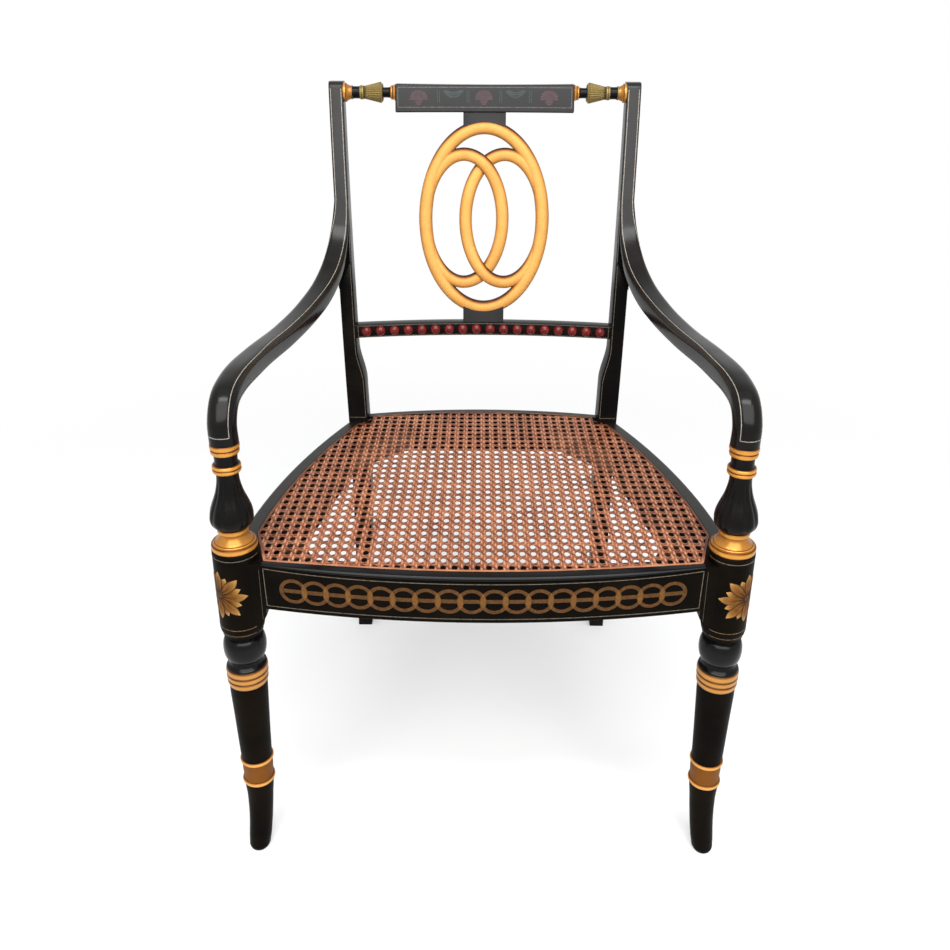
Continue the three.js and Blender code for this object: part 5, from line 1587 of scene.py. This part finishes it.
petals, midribs = [], []
for number in range(16):
    turn = number * math.pi / 8
    long_petal = number % 2 == 0
    reach = (30.0 if long_petal else 25.0) * (1 + 0.1 * abs(math.sin(turn)))
    far = mix(2.5, reach, share)
    width = (10.8 if long_petal else 9.8) * leaf_shape(share, 0.62)
    tone = 0.4 + 0.55 * share ** 5
    place = block_path(far * math.sin(turn), far * math.cos(turn))
    petals.append(stroke(*place, width, 0.18 if long_petal else 0.09, False, tone))
    if long_petal:
        petals.append(stroke(*place, width + 0.9, 0.13, False, 0.0))
    for lean, length in ((-0.09, 0.62), (0.0, 0.8), (0.09, 0.62)):
        rib = mix(3.0, reach * length, share)
        rib_width = 0.9 * (1 - 0.8 * share)
        rib_place = block_path(rib * math.sin(turn + lean), rib * math.cos(turn + lean))
        midribs.append(stroke(*rib_place, rib_width, 0.28, False, 0.0))
ring_share = np.linspace(0, 2 * math.pi, 25)
heart = stroke(*block_path(2.0 * np.sin(ring_share), 2.0 * np.cos(ring_share)), 1.5, 0.3, True)
both_sides("block_flower", petals, petal_gold, "gilt")
both_sides("block_flower_ribs", [*midribs, heart], bronze_paint, "gilt")
print("petals:", len(petals), "ribs:", len(midribs))

# %% [markdown]
# One line runs round the top of each block and two round its foot. They stop at the heel, whose flat front has a
# thin line of its own.

# %% The blocks' lines
top_line, foot_line, edge_line, edge_radius = 424.6, 336.4, 328.6, 23.65
heel_line = [(heel_inner + 4.4, 348.0), (heel_inner + 2.6, 412.0)]
round_top = np.radians(np.linspace(-80, 200, 71))
round_low = np.radians(np.linspace(-52, 200, 71))
block_lines = [stroke(*on_block(round_top, np.full(71, top_line)), fine_line)]
block_foot_lines = [
    stroke(*on_block(round_low, np.full(71, foot_line)), fine_line),
    stroke(*on_block(round_low, np.full(71, edge_line), edge_radius), 1.4),
]


def heel_face(x, z):
    """Flat front of the leg's heel."""
    return heel_front + 0 * x + 0 * z


block_lines += face_strokes(heel_face, [heel_line], 0.3)
both_sides("block_lines", block_lines, dim_line, "gilt")
both_sides("block_foot_lines", block_foot_lines, rubbed_gold_line, "gilt")
print("lines on each block:", len(block_lines) + len(block_foot_lines))

# %% [markdown]
# On the arms one line runs along the inner edge and one along the outer edge, joined across the scroll just
# above the gilt rings. Each is an angle round the arm's section that changes slowly along the arm.

# %% The arms' lines
inner_angle, arm_top_angle, inner_lap_angle = 128.0, 114.0, 109.0
outer_angle, outer_lap_angle = 30.0, 71.0
line_start_height = 560.0
line_start = int(np.argmin(np.abs(arm_middle[:40, 2] - line_start_height)))
near_post = smooth_step((arm_share - 0.84) / 0.13)
past_scroll = smooth_step((arm_share - 0.2) / 0.2)
inner_line = np.radians(mix(mix(inner_angle, arm_top_angle, past_scroll), inner_lap_angle, near_post))
outer_line = np.radians(mix(outer_angle, outer_lap_angle, near_post))
arm_lines = [
    stroke(arm_point(angle)[line_start:], arm_normal(angle)[line_start:], fine_line, 0.14)
    for angle in (inner_line, outer_line)
]
cross_angles = np.radians(np.linspace(inner_angle, outer_angle, 19))
crossing_points = np.array([arm_point(a)[line_start] for a in cross_angles])
crossing_normals = np.array([arm_normal(a)[line_start] for a in cross_angles])
arm_lines.append(stroke(crossing_points, crossing_normals, fine_line, 0.12))
print("lines on each arm:", len(arm_lines))

# %% [markdown]
# The arms' lines go on up both edges of the posts. Below the arm a rubbed line follows the post's inner edge down
# to the seat and crosses the post there.

# %% The posts' lines
post_inset, foot_post_inset, post_foot_height = 2.6, 2.4, 424.0


def post_face(x, z):
    """Front of the back post."""
    return post_front(z) + 0 * x


line_heights = np.linspace(lap_top - 16.0, overall_height - 8.0, 44)
outer_edge = post_outer(line_heights)
edge_lines = (outer_edge - post_inset, outer_edge - (post_width(line_heights) - post_inset))
post_lines = [face_stroke(post_face, line_x, line_heights, fine_line) for line_x in edge_lines]
foot_heights = np.linspace(post_foot_height, lap_top - 82.0, 60)
foot_line_x = post_outer(foot_heights) - post_width(foot_heights) + foot_post_inset
foot_across = np.linspace(foot_line_x[0], post_outer(post_foot_height) - foot_post_inset, 8)
post_foot_lines = [
    face_stroke(post_face, foot_line_x, foot_heights, thin_line),
    face_stroke(post_face, foot_across, post_foot_height, thin_line),
]
both_sides("post_foot_lines", post_foot_lines, dim_line, "gilt")
both_sides("arm_lines", arm_lines, cream_line, "gilt")
both_sides("post_lines", post_lines, cream_line, "gilt")
print("lines on each post:", len(post_lines) + len(post_foot_lines))

# %% [markdown]
# The tablet has a line round it and, almost rubbed away, three madder palmettes with green swags between them. A
# palmette is a fan of eleven leaves over a heart, with three curved leaves below. A swag is three sagging curves
# between tassels.

# %% The tablet's painting
palmette_places, swag_places = (-86.0, -1.0, 84.0), (-41.0, 40.0)
palmette_heart, swag_height, tassel_low, tassel_high = 838.0, 846.5, 832.0, 847.0
across = 2 * share - 1


def on_tablet(x, z, width, rise=0.07):
    """A brush stroke on the tablet's face."""
    return face_stroke(tablet_face, x, z, width, rise)


tablet_lines = frame_lines(-tablet_half_length + 3.4, tablet_half_length - 3.4, tablet_low + 4.6, tablet_high - 4.0)
new_piece("tablet_lines", face_strokes(tablet_face, tablet_lines, thin_line), dim_line, "gilt")
palmettes, swags = [], []
for middle in palmette_places:
    for number in range(11):
        turn = math.radians(-100 + 20 * number)
        far = mix(2.4, 13.0 - 1.4 * abs(math.cos(turn)), share)
        leaf_x, leaf_z = middle + far * math.sin(turn), palmette_heart + 0.9 * far * math.cos(turn)
        palmettes.append(on_tablet(leaf_x, leaf_z, 3.2 * leaf_shape(share, 0.7)))
    palmettes.append(on_tablet(middle, mix(829.0, 846.0, share), 10.0 * np.sin(math.pi * share) ** 0.5, 0.05))
    for drop, half in ((-2.6, 8.4), (-5.4, 6.2), (-8.0, 3.4)):
        leaf_z = palmette_heart + drop + 1.2 * across ** 2
        palmettes.append(on_tablet(middle + half * across, leaf_z, 1.6 * np.sin(math.pi * share) ** 0.5))
for middle in swag_places:
    for sag, half in ((8.0, 13.0), (5.0, 12.0), (2.5, 10.0)):
        swags.append(on_tablet(middle + half * across, swag_height - sag * (1 - across ** 2), 2.3))
    for x in (-20.5, -18.0, 18.0, 20.5):
        swags.append(on_tablet(middle + x, mix(tassel_low, tassel_high, share), 1.7))
new_piece("tablet_palmettes", palmettes, madder, "bead")
new_piece("tablet_swags", swags, verdigris, "lacquer")
print("palmette strokes:", len(palmettes), "swag strokes:", len(swags))

# %% [markdown]
# A thin line runs above and below the beads of the cross rail.

# %% The cross rail's lines
cross_line_x, cross_inset = cross_end - 3.0, 1.6


def cross_front(x, z):
    """Front of the cross rail."""
    return cross_face(x) + 0 * z


cross_lines = frame_lines(-cross_line_x, cross_line_x, cross_low + cross_inset, cross_high - cross_inset)
new_piece("cross_rail_lines", face_strokes(cross_front, cross_lines, thin_line), dim_line, "gilt")
print("cross rail line:", round(2 * cross_line_x), "mm long")

# %% [markdown]
# ## Stage, light and camera
#
# The chair stands on white paper that curves up behind it. Near the chair the paper is lit and keeps the shadow.
# Further away the camera, glossy and transmitted rays see it as plain white.

# %% The white paper
floor_material, floor_tree, floor_shader, floor_place = new_finish("white_paper_sweep")
fill(floor_tree, floor_shader, {"Base Color": linear("#fbfbfa"), "Roughness": 0.9, "Specular IOR Level": 0.0})
away = node(floor_tree, "ShaderNodeVectorMath", {0: floor_place}, operation="LENGTH")
far_share = node(floor_tree, "ShaderNodeMapRange", {
    "Value": away.outputs["Value"], "From Min": 0.5, "From Max": 1.7, "To Min": 0.35,
}, interpolation_type="SMOOTHSTEP")


def seen_rays(tree):
    """1 for a ray of the camera, of a mirror image or through glass, and 0 for a ray that carries light."""
    rays = node(tree, "ShaderNodeLightPath").outputs
    looks = {0: rays["Is Camera Ray"], 1: rays["Is Glossy Ray"]}
    looks = node(tree, "ShaderNodeMath", looks, operation="MAXIMUM")
    looks = {0: looks.outputs[0], 1: rays["Is Transmission Ray"]}
    return node(tree, "ShaderNodeMath", looks, operation="MAXIMUM").outputs[0]


shown = {0: seen_rays(floor_tree), 1: far_share.outputs[0]}
shown = node(floor_tree, "ShaderNodeMath", shown, operation="MULTIPLY")
white = node(floor_tree, "ShaderNodeEmission", {"Color": linear("#ffffff"), "Strength": 1.0})
blend = node(floor_tree, "ShaderNodeMixShader", {
    0: shown.outputs[0], 1: floor_shader.outputs[0], 2: white.outputs[0],
})
paper_out = next(n for n in floor_tree.nodes if n.type == "OUTPUT_MATERIAL")
fill(floor_tree, paper_out, {"Surface": blend.outputs[0]})
print("paper:", floor_material.name)

# %% [markdown]
# The sweep is a floor that curves up into a wall: two planes joined by a quarter circle, 3 m behind the chair.

# %% The paper sweep
turn = np.linspace(0, math.pi / 2, 24)
sweep_y = np.concatenate([[-3.2], 3.0 + np.sin(turn), [4.0]])
sweep_z = np.concatenate([[0.0], 1.0 - np.cos(turn), [1.4]])
verts = [(x, y, z) for y, z in zip(sweep_y, sweep_z) for x in (-9.0, 9.0)]
faces = [(2 * i, 2 * i + 1, 2 * i + 3, 2 * i + 2) for i in range(len(sweep_y) - 1)]
mesh = bpy.data.meshes.new("studio_sweep")
mesh.from_pydata(verts, [], faces)
mesh.shade_smooth()
mesh.materials.append(floor_material)
sweep = bpy.data.objects.new("studio_sweep", mesh)
bpy.context.scene.collection.objects.link(sweep)

# %% [markdown]
# A large soft box in front gives the posts and the tablet their broad sheen. A narrower box hangs nearly
# overhead and draws the highlights on the scrolls, the balls and the rings. A third, weak one lights the seat and
# the floor from above. The sky is a dim, even fill, and rays that mirror it meet the white of the studio.

# %% Lamps and sky


def soft_box(name, place, aim, size, power):
    """A rectangular area lamp that points at the aim."""
    lamp = bpy.data.lights.new(name, "AREA")
    lamp.shape = "RECTANGLE"
    lamp.size, lamp.size_y = size
    lamp.energy = power
    made = bpy.data.objects.new(name, lamp)
    made.location = place
    made.rotation_euler = (Vector(aim) - Vector(place)).to_track_quat("-Z", "Y").to_euler()
    bpy.context.scene.collection.objects.link(made)


soft_box("front_box", (0.1, -2.15, 2.1), (0, 0, 0.55), (3.4, 2.0), 112.0)
soft_box("key_box", (0.0, -1.15, 2.95), (0, -0.1, 0.45), (2.4, 0.6), 62.0)
soft_box("top_box", (0.0, -0.3, 3.0), (0, 0, 0.4), (3.0, 1.6), 8.0)

world = bpy.data.worlds.new("studio")
world.use_nodes = True
sky = world.node_tree
dim_sky = next(n for n in sky.nodes if n.type == "BACKGROUND")
fill(sky, dim_sky, {"Color": linear("#eef1f6"), "Strength": 0.3})
plain = node(sky, "ShaderNodeBackground", {"Color": linear("#ffffff"), "Strength": 1.0})
sky_blend = node(sky, "ShaderNodeMixShader", {0: seen_rays(sky), 1: dim_sky.outputs[0], 2: plain.outputs[0]})
sky_out = next(n for n in sky.nodes if n.type == "OUTPUT_WORLD")
fill(sky, sky_out, {"Surface": sky_blend.outputs[0]})
bpy.context.scene.world = world
bpy.context.scene.view_settings.view_transform = "Standard"

# %% [markdown]
# The camera stands 0.92 m above the floor, close in front of the chair, and looks down a little over 27 degrees.
# Its place comes from the photograph's horizon and from where the feet meet the floor. The focal length is given
# in pixels of the picture, and the sensor's width turns it to millimetres.

# %% Camera
camera_place = Vector((-0.0054, -0.7887 + axis_y * MM, 0.92))
yaw, pitch, roll = (math.radians(a) for a in (-0.262, 27.12, 0.195))
forward = Vector((math.sin(yaw) * math.cos(pitch), math.cos(yaw) * math.cos(pitch), -math.sin(pitch)))
right = Vector((math.cos(yaw), -math.sin(yaw), 0))
up = right.cross(forward)
turned_right = right * math.cos(roll) + up * math.sin(roll)
turned_up = up * math.cos(roll) - right * math.sin(roll)
camera_data = bpy.data.cameras.new("camera")
sensor, focal_pixels, picture_pixels = 36.0, 874.0, 950.0
camera_data.sensor_width = sensor
camera_data.lens = focal_pixels / picture_pixels * sensor
camera = bpy.data.objects.new("camera", camera_data)
bpy.context.scene.collection.objects.link(camera)
axes = Matrix((turned_right, turned_up, -forward)).transposed()
camera.matrix_world = Matrix.Translation(camera_place) @ axes.to_4x4()
bpy.context.scene.camera = camera
print("camera at", [round(v, 3) for v in camera_place])
